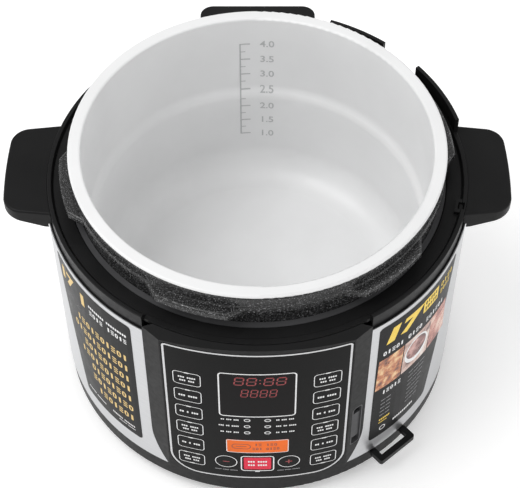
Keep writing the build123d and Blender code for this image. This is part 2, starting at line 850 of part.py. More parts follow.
def make_heating_plate():
    coil_z = heater_underside + 0.5
    plate = turned(
        [
            (heater_bore, heater_underside),
            (heater_radius - 3, heater_underside),
            (heater_radius, heater_underside + 3),
            (heater_radius, heater_top),
            (heater_bore, heater_top),
        ],
        [0, 0, 0, 1.5, 1.0],
    )
    coil = Pos(0, 0, coil_z) * Torus(heater_coil_radius, heater_coil_tube)
    gap_at = sum(terminal_azimuths) / 2
    half_gap = (terminal_azimuths[1] - terminal_azimuths[0]) / 2 - 4
    low = coil_z - heater_coil_tube - 1
    coil -= wedge((gap_at - half_gap, gap_at + half_gap), 40, 100, low, heater_underside)
    plate += coil
    for azimuth in stud_azimuths:
        x, y = point_at(azimuth, stud_circle)
        plate -= upright(stud_radius, heater_underside - 1, heater_underside + 5, x, y)
    for azimuth in terminal_azimuths:
        x, y = point_at(azimuth, heater_coil_radius)
        plate -= upright(terminal_radius, low - 1, heater_underside + 2, x, y)
        plate -= upright(terminal_bush_radius, low - 1, heater_underside - 1.5, x, y)
    return plate


def make_heater_terminals():
    """Connection pins at the ends of the heating coil, in ceramic bushes."""
    pins = []
    for azimuth in terminal_azimuths:
        x, y = point_at(azimuth, heater_coil_radius)
        pin = upright(terminal_radius, disc_top + 1.5, heater_underside + 2, x, y)
        bush_top = heater_underside - 1.5
        pins.append(pin + upright(terminal_bush_radius, outer_underside - 3, bush_top, x, y))
    return pins


def make_heater_fixings():
    """Studs that carry the heating plate, with their spacers and nuts."""
    pieces = []
    for azimuth in stud_azimuths:
        x, y = point_at(azimuth, stud_circle)
        ear = bracket_sheet if azimuth != stud_azimuths[0] else 0
        nut_top = disc_underside - ear
        stud_end = disc_underside - bracket_sheet - nut_height - 1
        pieces.append(upright(stud_radius, stud_end, heater_underside + 5, x, y))
        bore = upright(stud_radius + pin_gap, 0, rim_height, x, y)
        nut = extrude(Pos(x, y, nut_top - nut_height) * RegularPolygon(nut_radius, 6), nut_height)
        pieces.append(nut - bore)
        pieces.append(upright(spacer_radius, disc_top, outer_underside, x, y) - bore)
        low = upright(spacer_radius, outer_floor_top, heater_underside, x, y)
        pieces.append(low - bore)
    return pieces


def make_elastic_disc():
    inner = disc_dish_radius
    outer = disc_dish_radius + 3
    corners = [
        (disc_bore, disc_underside - disc_dish),
        (inner, disc_underside - disc_dish),
        (outer, disc_underside),
        (disc_radius, disc_underside),
        (disc_radius, disc_top),
        (outer - 0.5, disc_top),
        (inner - 0.5, disc_top - disc_dish),
        (disc_bore, disc_top - disc_dish),
    ]
    disc = turned(corners)
    for azimuth in stud_azimuths:
        x, y = point_at(azimuth, stud_circle)
        disc -= upright(stud_radius + pin_gap, disc_underside - 1, disc_top + 1, x, y)
    return disc


def switch_bracket_floor():
    return disc_underside - rest_gap - 2.5 - switch_size[2]


def make_switch_bracket():
    """Strip that hangs from two studs and carries the pressure switch."""
    floor = switch_bracket_floor()
    half = bracket_half_length
    low_y = switch_y - bracket_width / 2
    high_y = switch_y + bracket_width / 2
    sheet = bracket_sheet
    strip = block((-half, half), (low_y, high_y), (floor - sheet, floor))
    x_stud = point_at(stud_azimuths[1], stud_circle)[0]
    for side in (-1, 1):
        leg = sorted((side * half, side * (half - sheet)))
        strip += block(leg, (low_y, high_y), (floor - sheet, disc_underside))
        ear = sorted((side * (half - sheet), side * (x_stud + 7)))
        strip += block(ear, (low_y, high_y), (disc_underside - sheet, disc_underside))
    for azimuth in stud_azimuths[1:]:
        x, y = point_at(azimuth, stud_circle)
        strip -= upright(stud_radius + pin_gap, 0, rim_height, x, y)
    return strip


def make_pressure_switch():
    length, width, height = switch_size
    floor = switch_bracket_floor()
    spans = (-length / 2, length / 2), (switch_y - width / 2, switch_y + width / 2)
    body = block(*spans, (floor, floor + height))
    body = chamfer(body.edges().group_by(Axis.Z)[-1], 0.8)
    button_top = disc_underside - rest_gap
    return body + upright(2.0, floor + height - 1, button_top, 0, switch_y)


def make_thermal_cutoff():
    low = outer_floor_top + 0.4
    can = upright(cutoff_radius, low, heater_underside, cutoff_x, cutoff_y)
    ears = block(
        (cutoff_x - 11, cutoff_x + 11),
        (cutoff_y - 3, cutoff_y + 3),
        (heater_underside - 1.2, heater_underside),
    )
    return can + ears


def make_sensor_cap():
    inner = sensor_radius - sensor_wall
    low = heater_top - sensor_height
    corners = [
        (0, heater_top - 2),
        (inner, heater_top - 2),
        (inner, low),
        (sensor_radius, low),
        (sensor_radius, heater_top),
        (0, heater_top),
    ]
    return turned(corners, [0, 0, 0, 0, 0.8, 0])


def sensor_guide_top():
    return outer_underside - guide_flange + guide_height


def make_sensor_guide():
    tube = sensor_radius - sensor_wall - slip_gap
    top = sensor_guide_top()
    flange_low = outer_underside - guide_flange
    corners = [
        (6.0, flange_low),
        (guide_flange_radius, flange_low),
        (guide_flange_radius, outer_underside),
        (tube, outer_underside),
        (tube, top),
        (tube - 1.2, top),
        (tube - 1.2, outer_underside),
        (6.0, outer_underside),
    ]
    return turned(corners)


def make_sensor_spring():
    coil_radius = sensor_radius - sensor_wall - slip_gap - 1.2 - 1.6
    return coil_spring(coil_radius, 0.6, outer_underside + 0.1, heater_top - 2.1, 4)


# ---- Control panel ------------------------------------------------------------


def housing_outline():
    """Plan of the housing: panel face, two cheeks and an open back."""
    left_crease = (-crease.X, crease.Y)
    left_end = (-cheek_end.X, cheek_end.Y)
    outline = [
        Line(left_end, left_crease),
        ThreePointArc(left_crease, (0, panel_front), (crease.X, crease.Y)),
        Line((crease.X, crease.Y), (cheek_end.X, cheek_end.Y)),
        Line((cheek_end.X, cheek_end.Y), left_end),
    ]
    return make_face(outline)


def shield_outline(grow, below=fascia_bottom_corner, above=fascia_top_corner):
    """The fascia's outline, with small corners above and large ones below."""
    half = fascia_half_width + grow
    low = fascia_bottom - grow
    high = fascia_top + grow
    corners = [(-half, low), (half, low), (half, high), (-half, high)]
    return make_face(FilletPolyline(*corners, radius=[below, below, above, above], close=True))


def make_control_housing():
    height = housing_top - housing_bottom
    housing = extrude(Pos(0, 0, housing_bottom) * housing_outline(), amount=height)
    ring_room = front_ring_radius + rest_gap
    reach = shell_radius + 10
    drop = (reach - ring_room) * housing_roof_slope
    roof_line = [(reach, housing_top - drop), (ring_room, housing_top)]
    roof = turned([(0, 0), (reach, 0), *roof_line, (0, housing_top)])
    housing = housing & roof
    low = housing_bottom + housing_wall
    high = ring_underside - rest_gap - housing_wall
    inside = offset(housing_outline(), amount=-housing_wall)
    cavity = extrude(Pos(0, 0, low) * inside, amount=high - low)
    behind = cheek_end.X - 2 * housing_wall
    open_back = (cheek_end.Y - housing_wall - 1, cheek_end.Y + 5)
    cavity += block((-behind, behind), open_back, (low, high))
    housing -= cavity
    housing -= upright(ring_room, ring_underside - rest_gap, housing_top + 1)
    housing -= upright(shield_radius + 0.7, housing_bottom - 1, housing_top + 1)
    beside = upright(reach + 10, housing_bottom - 1, ring_step - ring_skirt)
    beside -= upright(shell_bore - rest_gap, housing_bottom - 2, housing_top)
    housing -= beside - front_prism(cheek_sketch(0))
    housing += front_prism(shield_outline(1.5)) & panel_layer(1.0, 4.4)
    housing -= front_prism(shield_outline(fit_gap)) & panel_layer(-5, fascia_thickness + 0.1)
    housing -= front_prism(shield_outline(-fascia_ledge, housing_opening_corner, 1.0))
    for x, side in board_posts:
        housing += make_board_post(x, side)
    for side in (-1, 1):
        housing += make_housing_flange(side)
    return housing - pocket_place_at() * pocket_block(fit_gap)


def board_post_z(side):
    """Height of a board post, in the ledge above or below the opening."""
    edge = fascia_top if side > 0 else fascia_bottom
    return edge - side * (fascia_ledge - board_post_radius + 0.6)


def make_board_post(x, side):
    z = board_post_z(side)
    post = lying(board_post_radius, panel_y(x, 3.0), board_front, x, z)
    return post - lying(board_screw_radius + pin_gap, board_front - 2.6, board_front + 1, x, z)


def make_housing_flange(side):
    """Flange that tucks inside the steel shell."""
    start = housing_half_angle - 1.2
    end = housing_half_angle + housing_flange_angle
    outer = shell_bore - rest_gap
    low = base_band_top + base_upstand + 1
    high = ring_step - ring_skirt - 1
    azimuths = sorted((side * start, side * end))
    return wedge(azimuths, outer - housing_flange, outer, low, high)


def windows():
    """Outlines of every opening in the fascia: keys, display and light pipes."""
    outlines = [key_sketch(key, 0.0) for key in all_keys()]
    outlines.append(display_sketch(0.0))
    outlines += [Pos(x, z) * Circle(light_pipe_radius + 0.05) for x, z in light_pipe_places()]
    return outlines


def make_fascia():
    fascia = front_prism(shield_outline(0)) & panel_layer(0, fascia_thickness)
    for outline in windows():
        fascia -= front_prism(outline)
    return fascia


def display_sketch(grow):
    sketch = RectangleRounded(display_width + 2 * grow, display_height + 2 * grow, display_corner)
    return Pos(0, display_z) * sketch


def make_display_window():
    return front_prism(display_sketch(-0.1)) & panel_layer(0, fascia_thickness)


def make_display_module():
    front = panel_front + fascia_thickness + module_gap
    half_x = module_width / 2
    half_z = module_height / 2
    heights = (display_z - half_z, display_z + half_z)
    return block((-half_x, half_x), (front, board_front), heights)


def light_pipe_places():
    return [(side * light_pipe_x, z) for side in (-1, 1) for z in light_pipe_heights]


def make_light_pipes():
    face = upright(panel_radius, 0, rim_height, 0, panel_axis_y)
    end = board_front - led_height - rest_gap
    pipes = [lying(light_pipe_radius, panel_front - 5, end, x, z) for x, z in light_pipe_places()]
    return [pipe & face for pipe in pipes]


def all_keys():
    """Every key: name, x, z, width, height, corner radius (0 for a round key)."""
    keys = []
    for side, name in ((-1, "left"), (1, "right")):
        for row in range(key_rows):
            z = key_first_z - row * key_pitch
            place = (side * key_column_x, z, key_width, key_height, key_corner)
            keys.append((f"key_{name}_{row + 1}", *place))
    keys.append(("key_program", *program_key))
    keys.append(("key_start", *start_key))
    across = 2 * round_key_radius
    for side, name in ((-1, "minus"), (1, "plus")):
        keys.append((f"key_{name}", side * round_key_x, round_key_z, across, across, 0.0))
    return keys


def key_sketch(key, grow):
    _, x, z, width, height, corner = key
    if corner == 0.0:
        return Pos(x, z) * Circle(width / 2 + grow)
    shape = RectangleRounded(width + 2 * grow, height + 2 * grow, max(corner + grow, 0.5))
    return Pos(x, z) * shape


def make_key(key):
    """Key cap, flush with the fascia, its flange and the stem to its switch."""
    _, x, z = key[:3]
    flange_front = fascia_thickness + rest_gap
    flange_back = flange_front + key_flange_thickness
    cap = front_prism(key_sketch(key, -key_gap)) & panel_layer(0, flange_back)
    cap += front_prism(key_sketch(key, key_flange)) & panel_layer(flange_front, flange_back)
    stem_start = panel_y(x, flange_front + 0.5)
    return cap + lying(key_stem_radius, stem_start, tact_top + key_stem_entry, x, z)


def make_tact_switches():
    switches = []
    half = tact_size / 2
    for _, x, z, *_ in all_keys():
        switch = block((x - half, x + half), (tact_top, board_front), (z - half, z + half))
        switch -= lying(tact_bore_radius, tact_top - 1, tact_top + tact_bore_depth, x, z)
        switches.append(switch)
    return switches


def make_control_board():
    low = housing_bottom + housing_wall + board_edge_gap
    high = ring_underside - rest_gap - housing_wall - board_edge_gap
    half = board_half_width
    board = block((-half, half), (board_front, board_back), (low, high))
    for x, side in board_posts:
        board -= lying(board_screw_radius + pin_gap, board_front - 1, board_back + 1, x, board_post_z(side))
    half = led_size / 2
    for x, z in light_pipe_places():
        front = board_front - led_height
        board += block((x - half, x + half), (front, board_front + 0.2), (z - half, z + half))
    return board


def make_board_screws():
    screws = []
    for x, side in board_posts:
        z = board_post_z(side)
        head = lying(1.7, board_back, board_back + 1.2, x, z)
        screws.append(head + lying(board_screw_radius, board_front - 2.2, board_back + 0.5, x, z))
    return screws


# ---- Power supply -------------------------------------------------------------


def make_power_board():
    half_x = power_board_size[0] / 2
    half_y = power_board_size[1] / 2
    low = base_floor_top + power_board_height
    x_span = (power_board_x - half_x, power_board_x + half_x)
    board = block(x_span, (-half_y, half_y), (low, low + board_thickness))
    for x, y in power_board_pegs():
        board -= upright(power_board_pin_radius + pin_gap, low - 1, low + 3, x, y)
    return board


def make_power_board_parts():
    """Transformer, relay, capacitor and terminal block, soldered to the board."""
    low = base_floor_top + power_board_height + board_thickness
    x = power_board_x
    transformer = block((x - 13, x + 9), (-24, -4), (low, low + 14))
    relay = block((x - 8, x + 12), (2, 15), (low, low + 12))
    capacitor = upright(4.5, low, low + 12, x - 14, 8)
    terminals = block((x + 2, x + 16), (20, 28), (low, low + 9))
    return [transformer, relay, capacitor, terminals]


def make_power_inlet():
    face = shell_radius + inlet_pad_proud
    width, height, depth = inlet_flange
    inlet = centred_on_inlet(width, height, face, face + depth)
    rim = inlet.edges().filter_by(Axis.Y)
    inlet = fillet(rim, 3.0)
    body_width, body_height, body_depth = inlet_body
    inlet += centred_on_inlet(body_width, body_height, face - body_depth, face + 1)
    socket_width, socket_height, socket_depth = inlet_socket
    mouth = face + depth
    socket = centred_on_inlet(socket_width, socket_height, mouth - socket_depth, mouth + 1)
    upper = [edge for edge in socket.edges().filter_by(Axis.Y) if edge.center().Z > inlet_z]
    inlet -= chamfer(upper, inlet_chamfer)
    for x, z in inlet_blades:
        inlet -= blade(x, inlet_z + z)
    for side in (-1, 1):
        x = side * inlet_screw_spread
        inlet -= lying(small_screw_radius + pin_gap, face - 1, face + depth + 1, x, inlet_z)
    return inlet


def centred_on_inlet(width, height, y_low, y_high):
    half = height / 2
    return block((-width / 2, width / 2), (y_low, y_high), (inlet_z - half, inlet_z + half))


def blade(x, z):
    """Contact blade: stops short of the mouth and has a tail behind the body."""
    front = shell_radius + inlet_pad_proud + inlet_flange[2] - blade_recess
    back = shell_radius + inlet_pad_proud - inlet_body[2] - blade_tail
    half_x = blade_size[0] / 2
    half_z = blade_size[1] / 2
    return block((x - half_x, x + half_x), (back, front), (z - half_z, z + half_z))


def make_inlet_pins():
    return [blade(x, inlet_z + z) for x, z in inlet_blades]


def make_inlet_screws():
    seat = shell_radius + inlet_pad_proud + inlet_flange[2]
    screws = []
    for side in (-1, 1):
        x = side * inlet_screw_spread
        shaft = lying(small_screw_radius, seat - 10, seat + 0.5, x, inlet_z)
        screws.append(shaft + lying(2.9, seat, seat + 1.8, x, inlet_z))
    return screws


def make_mains_wires():
    """Two insulated leads from the inlet's tails to the power board."""
    tail = shell_radius + inlet_pad_proud - inlet_body[2] - blade_tail
    start_z = inlet_z + inlet_blades[0][1]
    board_z = base_floor_top + power_board_height + board_thickness
    run_z = board_z + 4.5
    end_x = power_board_x + 5
    wires = []
    for index, (x, _) in enumerate(inlet_blades[:2]):
        end = end_x + index * 6
        route = [
            (x, tail, start_z),
            (x, tail - 12 - 4 * index, start_z),
            (x - 14, tail - 26, run_z),
            (end, 50, run_z),
            (end, 28, run_z),
        ]
        path = FilletPolyline(*route, radius=[5, 8, 8])
        start = Plane(origin=path @ 0, z_dir=path % 0)
        wires.append(sweep(start * Circle(1.2), path=path))
    return wires


# ---- Lid switch ---------------------------------------------------------------


def plunger_frame():
    return around(plunger_azimuth, plunger_circle)


def plunger_flange_top():
    return ring_underside - guide_block[2] - rest_gap


def make_lid_plunger():
    radial, tangential = plunger_size
    top = rim_height - plunger_drop
    flange_top = plunger_flange_top()
    flange_x, flange_y, flange_z = plunger_flange
    pin = block((-radial / 2, radial / 2), (-tangential / 2, tangential / 2), (flange_top - 1, top))
    pin = chamfer(pin.edges().group_by(Axis.Z)[-1], 0.6)
    heights = (flange_top - flange_z, flange_top)
    pin += block((-flange_x / 2, flange_x / 2), (-flange_y / 2, flange_y / 2), heights)
    low = heights[0] - plunger_stem_length
    return plunger_frame() * (pin + upright(plunger_stem_radius, low, heights[0] + 0.5))


def lid_plate_top():
    return plunger_flange_top() - plunger_flange[2] - plunger_stem_length + 0.8


def make_lid_bracket():
    """Bracket under the ring: spring seat above, microswitch below."""
    inward = -6.4
    sheet = lid_bracket_sheet
    top = lid_plate_top()
    plate = block((inward, 3.2), (-9.0, 9.0), (top - sheet, top))
    plate -= upright(plunger_stem_radius + slip_gap, top - 5, top + 5)
    for side in (-1, 1):
        leg = sorted((side * 9.0, side * (9.0 - sheet)))
        plate += block((inward, 0.0), leg, (top - sheet, ring_underside))
    low = top - sheet - lid_switch_size[2] - 4
    back = block((inward, inward + sheet), (-9.0, 9.0), (low, top))
    return plunger_frame() * (plate + back)


def make_lid_microswitch():
    radial, tangential, height = lid_switch_size
    start = -6.4 + lid_bracket_sheet
    button_top = lid_plate_top() - 0.8 - plunger_travel - 0.3
    body_top = button_top - 1.2
    spans = (start, start + radial), (-tangential / 2, tangential / 2)
    body = block(*spans, (body_top - height, body_top))
    return plunger_frame() * (body + upright(1.0, body_top - 0.5, button_top))


def make_plunger_spring():
    low = lid_plate_top() + 0.1
    high = plunger_flange_top() - plunger_flange[2] - 0.1
    return plunger_frame() * coil_spring(2.3, 0.3, low, high, 4)


# ---- Condensate collector and utensil holder ----------------------------------


def make_collector():
    """Open cup that hangs by its flange from the rails behind the ring."""
    flange_top = ring_step + rest_gap - 0.5
    flange_bottom = flange_top - 1.8
    half_flange = collector_half_width - rail_leg - slip_gap
    half_cup = collector_half_width - rail_leg - rail_grip - 0.5
    front = shell_radius + 0.8
    rear = rear_reach - collector_grip
    bottom = flange_top - collector_height
    cup = block((-half_cup, half_cup), (front, rear), (bottom, flange_top))
    cup = fillet(cup.edges().filter_by(Axis.Z), 4.0)
    wall = collector_wall
    flange_rear = rear_reach - 8.0
    cup += block((-half_flange, half_flange), (front, flange_rear), (flange_bottom, flange_top))
    hollow_x = (-half_cup + wall, half_cup - wall)
    hollow = block(hollow_x, (front + wall, rear - wall), (bottom + wall, flange_top + 1))
    hollow = fillet(hollow.edges().filter_by(Axis.Z), 2.4)
    grip = block((-12, 12), (rear - 0.5, rear_reach), (bottom + 12, bottom + 30))
    return cup + grip - hollow


def pocket_place_at():
    """Place on the right cheek, with local X pointing out of it."""
    along = cheek_end - crease
    middle = crease + along * pocket_place
    outward = degrees(atan2(-along.X, along.Y))
    return Pos(middle.X, middle.Y, 0) * Rot(0, 0, outward)


def pocket_block(grow):
    half = pocket_width / 2 + grow
    room = block((-pocket_depth, 3), (-half, half), (pocket_bottom - grow, pocket_top + grow))
    return fillet(room.edges().filter_by(Axis.X), pocket_corner + grow)


def make_holder_socket():
    """Pocket set into the cheek, with an upright clip bar across its mouth."""
    half = pocket_width / 2
    shell = block((-pocket_depth + fit_gap, -0.1), (-half, half), (pocket_bottom, pocket_top))
    shell = fillet(shell.edges().filter_by(Axis.X), pocket_corner)
    inner = half - pocket_wall
    hollow = block(
        (-pocket_depth + fit_gap + pocket_wall, 1),
        (-inner, inner),
        (pocket_bottom + pocket_wall, pocket_top - pocket_wall),
    )
    shell -= fillet(hollow.edges().filter_by(Axis.X), pocket_corner - pocket_wall)
    bar_x = (-clip_recess - clip_thickness, -clip_recess)
    bar = block(bar_x, (-inner - 0.2, inner + 0.2), (clip_bottom, clip_top))
    return pocket_place_at() * (shell + bar)


# ---- Assembly -----------------------------------------------------------------


def build_nodes():
    right_handle = make_handle()
    nodes = {
        "inner_pot": make_inner_pot(),
        "outer_pot": make_outer_pot(),
        "ring_seal": make_ring_seal(),
        "ring_screws": make_ring_screws(),
        "heat_shield": make_heat_shield(),
        "outer_shell": make_outer_shell(),
        "upper_ring": make_upper_ring(),
        "right_handle": right_handle,
        "left_handle": mirror(right_handle, about=Plane.YZ),
        "handle_screws": make_handle_screws(),
        "base_tray": make_base_tray(),
        "feet": make_feet(),
        "base_screws": make_base_screws(),
        "holder_loop": make_holder_loop(),
        "holder_socket": make_holder_socket(),
        "heating_plate": make_heating_plate(),
        "heater_terminals": make_heater_terminals(),
        "heater_fixings": make_heater_fixings(),
        "elastic_disc": make_elastic_disc(),
        "switch_bracket": make_switch_bracket(),
        "pressure_switch": make_pressure_switch(),
        "thermal_cutoff": make_thermal_cutoff(),
        "sensor_cap": make_sensor_cap(),
        "sensor_guide": make_sensor_guide(),
        "sensor_spring": make_sensor_spring(),
        "control_housing": make_control_housing(),
        "control_fascia": make_fascia(),
        "display_window": make_display_window(),
        "display_module": make_display_module(),
        "light_pipes": make_light_pipes(),
        "control_board": make_control_board(),
        "tact_switches": make_tact_switches(),
        "board_screws": make_board_screws(),
        "power_board": make_power_board(),
        "power_board_parts": make_power_board_parts(),
        "power_inlet": make_power_inlet(),
        "inlet_pins": make_inlet_pins(),
        "inlet_screws": make_inlet_screws(),
        "mains_wires": make_mains_wires(),
        "lid_plunger": make_lid_plunger(),
        "lid_plunger_spring": make_plunger_spring(),
        "lid_switch_bracket": make_lid_bracket(),
        "lid_microswitch": make_lid_microswitch(),
        "condensate_collector": make_collector(),
    }
    for key in all_keys():
        nodes[key[0]] = make_key(key)
    return nodes


os.makedirs("parts", exist_ok=True)
to_origin = Pos(0, pot_axis_y, 0)
for name, shape in build_nodes().items():
    pieces = shape if isinstance(shape, list) else [shape]
    solids = [solid for piece in pieces for solid in (to_origin * piece).solids()]
    export_step(Compound(children=solids), f"parts/{name}.step")
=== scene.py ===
import json
from math import cos, hypot, pi, radians, sin

import bmesh
import bpy
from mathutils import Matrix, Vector
from mathutils.bvhtree import BVHTree


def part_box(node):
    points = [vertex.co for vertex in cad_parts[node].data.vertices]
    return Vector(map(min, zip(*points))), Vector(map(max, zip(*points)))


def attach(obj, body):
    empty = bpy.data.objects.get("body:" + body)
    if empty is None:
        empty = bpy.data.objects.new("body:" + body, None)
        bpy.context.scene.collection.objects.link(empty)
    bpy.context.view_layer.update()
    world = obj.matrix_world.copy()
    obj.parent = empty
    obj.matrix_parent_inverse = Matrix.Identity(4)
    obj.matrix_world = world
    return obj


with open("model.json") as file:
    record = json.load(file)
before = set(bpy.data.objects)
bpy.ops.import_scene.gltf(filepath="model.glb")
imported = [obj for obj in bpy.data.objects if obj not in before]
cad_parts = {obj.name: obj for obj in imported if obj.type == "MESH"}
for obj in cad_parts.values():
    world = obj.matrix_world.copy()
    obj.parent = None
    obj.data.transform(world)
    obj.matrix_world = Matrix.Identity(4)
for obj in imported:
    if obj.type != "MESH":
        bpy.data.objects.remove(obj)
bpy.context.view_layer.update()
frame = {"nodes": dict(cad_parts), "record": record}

# The looks of an electric pressure cooker with its lid off. Metres, in the CAD's frame:
# +Z up, the control panel faces -Y. Printed artwork is laid out in millimetres, and on the
# steel shell its sides are given as azimuths in degrees, from the panel round to +X.

MM = 0.001
NODES = frame["nodes"]
AXIS_Y = sum(corner.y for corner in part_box("inner_pot")) / 2
FASCIA_LOW, FASCIA_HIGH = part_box("control_fascia")
SHELL_LOW, SHELL_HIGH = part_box("outer_shell")
SHELL_RADIUS = (SHELL_HIGH.x - SHELL_LOW.x) / 2
POT_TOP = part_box("inner_pot")[1].z
RAY_START = 0.3  # well outside the model, where rays towards its sides begin

# Artwork, in millimetres
DEGREE = pi / 180 * SHELL_RADIUS / MM  # arc of one degree on the steel shell
STRIP = 2.0  # widest strip of artwork before it is bent to the model
BASE_LIFT = 0.06  # how far print stands off the panel, its window and its keys
POT_LIFT = 0.10  # how far the litre marks stand off the pot's wall
FILM_LIFT = 0.10  # how far a film stands off the steel shell
PRINT_LIFT = 0.16  # print on a film, from the shell
OVERPRINT_LIFT = 0.22  # print on that print, from the shell
RAY_ASIDE = 0.3  # how far beside a joint a second ray looks for the surface
SMALL_PRINT = 2.5  # tallest print whose blocks are all plain


# ---- Materials ----------------------------------------------------------------


class Paint:
    """One node material, built up step by step."""

    def __init__(self, name, color, roughness, metallic=0.0):
        self.material = bpy.data.materials.new(name)
        self.material.use_nodes = True
        self.nodes = self.material.node_tree.nodes
        self.links = self.material.node_tree.links
        self.shader = self.nodes["Principled BSDF"]
        self.color = (*color, 1.0)
        self.shader.inputs["Base Color"].default_value = self.color
        self.shader.inputs["Roughness"].default_value = roughness
        self.shader.inputs["Metallic"].default_value = metallic
        self.roughness = roughness
        self.normal = None

    def noise(self, scale, detail=3.0, stretch=(1.0, 1.0, 1.0), rough=0.5):
        """Noise in object space, at so many waves for each metre."""
        place = self.nodes.new("ShaderNodeTexCoord")
        mapping = self.nodes.new("ShaderNodeMapping")
        mapping.inputs["Scale"].default_value = stretch
        texture = self.nodes.new("ShaderNodeTexNoise")
        texture.inputs["Scale"].default_value = scale
        texture.inputs["Detail"].default_value = detail
        texture.inputs["Roughness"].default_value = rough
        self.links.new(place.outputs["Object"], mapping.inputs["Vector"])
        self.links.new(mapping.outputs["Vector"], texture.inputs["Vector"])
        return texture.outputs["Fac"]

    def ramp(self, value, stops):
        """Colour ramp with (place, colour) stops."""
        ramp = self.nodes.new("ShaderNodeValToRGB")
        elements = ramp.color_ramp.elements
        while len(elements) < len(stops):
            elements.new(0.5)
        for element, (place, color) in zip(elements, stops):
            element.position = place
            element.color = (*color, 1.0)
        self.links.new(value, ramp.inputs["Fac"])
        return ramp.outputs["Color"]

    def tint(self, value, stops):
        """Colour the base by a ramp."""
        self.links.new(self.ramp(value, stops), self.shader.inputs["Base Color"])
        return self

    def shade(self, value, amount):
        """Vary the base colour by so large a share."""
        darker = tuple(channel * (1 - amount) for channel in self.color[:3])
        lighter = tuple(min(channel * (1 + amount), 1.0) for channel in self.color[:3])
        return self.tint(value, [(0.35, darker), (0.65, lighter)])

    def rub(self, value, spread):
        """Vary the roughness by plus or minus a spread."""
        change = self.nodes.new("ShaderNodeMapRange")
        change.inputs["From Min"].default_value = 0.3
        change.inputs["From Max"].default_value = 0.7
        change.inputs["To Min"].default_value = max(self.roughness - spread, 0.02)
        change.inputs["To Max"].default_value = min(self.roughness + spread, 1.0)
        self.links.new(value, change.inputs["Value"])
        self.links.new(change.outputs["Result"], self.shader.inputs["Roughness"])
        return self

    def bump(self, value, depth, strength=1.0):
        """Bump of a depth in metres; a second one adds to the first."""
        bump = self.nodes.new("ShaderNodeBump")
        bump.inputs["Strength"].default_value = strength
        bump.inputs["Distance"].default_value = depth
        self.links.new(value, bump.inputs["Height"])
        if self.normal is not None:
            self.links.new(self.normal, bump.inputs["Normal"])
        self.normal = bump.outputs["Normal"]
        self.links.new(self.normal, self.shader.inputs["Normal"])
        return self

    def sheen(self, level):
        """How strongly a surface that isn't metal mirrors its surroundings."""
        self.shader.inputs["Specular IOR Level"].default_value = level
        return self


def ceramic_coat():
    """Pale, satin non-stick coat of the inner pot."""
    paint = Paint("pot_coating", (0.80, 0.802, 0.804), 0.38)
    paint.shade(paint.noise(18, 4), 0.025)
    paint.rub(paint.noise(70, 4), 0.06)
    return paint.bump(paint.noise(2600, 2), 0.00002, 0.35)


def speckled_enamel():
    """Black hammer-speckled paint with fine silver flecks."""
    paint = Paint("flange_paint", (0.012, 0.012, 0.012), 0.28).sheen(0.5)
    black = (0.008, 0.008, 0.008)
    grey = (0.05, 0.05, 0.052)
    silver = (0.26, 0.26, 0.265)
    flecks = paint.noise(1500, 1.5, rough=0.4)
    paint.tint(flecks, [(0.52, black), (0.62, grey), (0.71, silver)])
    paint.rub(paint.noise(500, 3), 0.08)
    return paint.bump(paint.noise(1100, 3), 0.00005, 0.5)


def brushed_sheet():
    """Stainless sheet, brushed round the body."""
    paint = Paint("steel_sheet", (0.56, 0.565, 0.575), 0.36, 1.0)
    lines = paint.noise(60, 4, (1.0, 1.0, 60.0))
    paint.shade(lines, 0.06)
    paint.rub(lines, 0.05)
    return paint.bump(lines, 0.00001, 0.3)


def moulded(name, color, roughness):
    """Moulded plastic with a fine texture and faint mottling."""
    grain = 1800.0
    paint = Paint(name, color, roughness).sheen(0.12)
    paint.shade(paint.noise(35, 3), 0.10)
    paint.rub(paint.noise(grain / 6, 2), 0.05)
    return paint.bump(paint.noise(grain, 2), 0.00004, 0.45)


def polished(name, color, roughness):
    """Gloss plastic with faint handling marks in its shine."""
    paint = Paint(name, color, roughness).sheen(0.06)
    paint.shade(paint.noise(40, 4), 0.08)
    paint.rub(paint.noise(90, 5), 0.04)
    return paint.bump(paint.noise(120, 2), 0.00002, 0.1)


def metal(name, color, roughness, grain=900.0):
    """Bare metal, mottled at so many grains for each metre."""
    paint = Paint(name, color, roughness, 1.0)
    mottling = paint.noise(grain, 3)
    paint.shade(mottling, 0.12)
    paint.rub(mottling, 0.10)
    return paint.bump(mottling, 0.00003, 0.4)


def board_paint():
    """Green solder mask with paler tracks."""
    paint = Paint("circuit_board", (0.02, 0.12, 0.045), 0.35)
    tracks = paint.noise(260, 0.0, (1.0, 1.0, 0.3))
    paint.tint(tracks, [(0.49, (0.012, 0.09, 0.03)), (0.51, (0.03, 0.19, 0.07))])
    return paint.bump(tracks, 0.00003, 0.5)


def ink(name, color, roughness=0.4):
    """Screen-printed ink, a little uneven in its cover."""
    paint = Paint(name, color, roughness)
    paint.shade(paint.noise(900, 3), 0.07)
    return paint.bump(paint.noise(1500, 2), 0.00001, 0.3)


def glowing(name, color, strength):
    """Ink that gives off a little light of its own."""
    paint = ink(name, color)
    paint.shader.inputs["Emission Color"].default_value = (*color, 1.0)
    paint.shader.inputs["Emission Strength"].default_value = strength
    return paint


def dish_print(name, stops, scale):
    """Soft printed patches in warm kitchen colours."""
    paint = Paint(name, stops[1][1], 0.3)
    paint.tint(paint.noise(scale, 5), stops)
    return paint.rub(paint.noise(300, 2), 0.05)


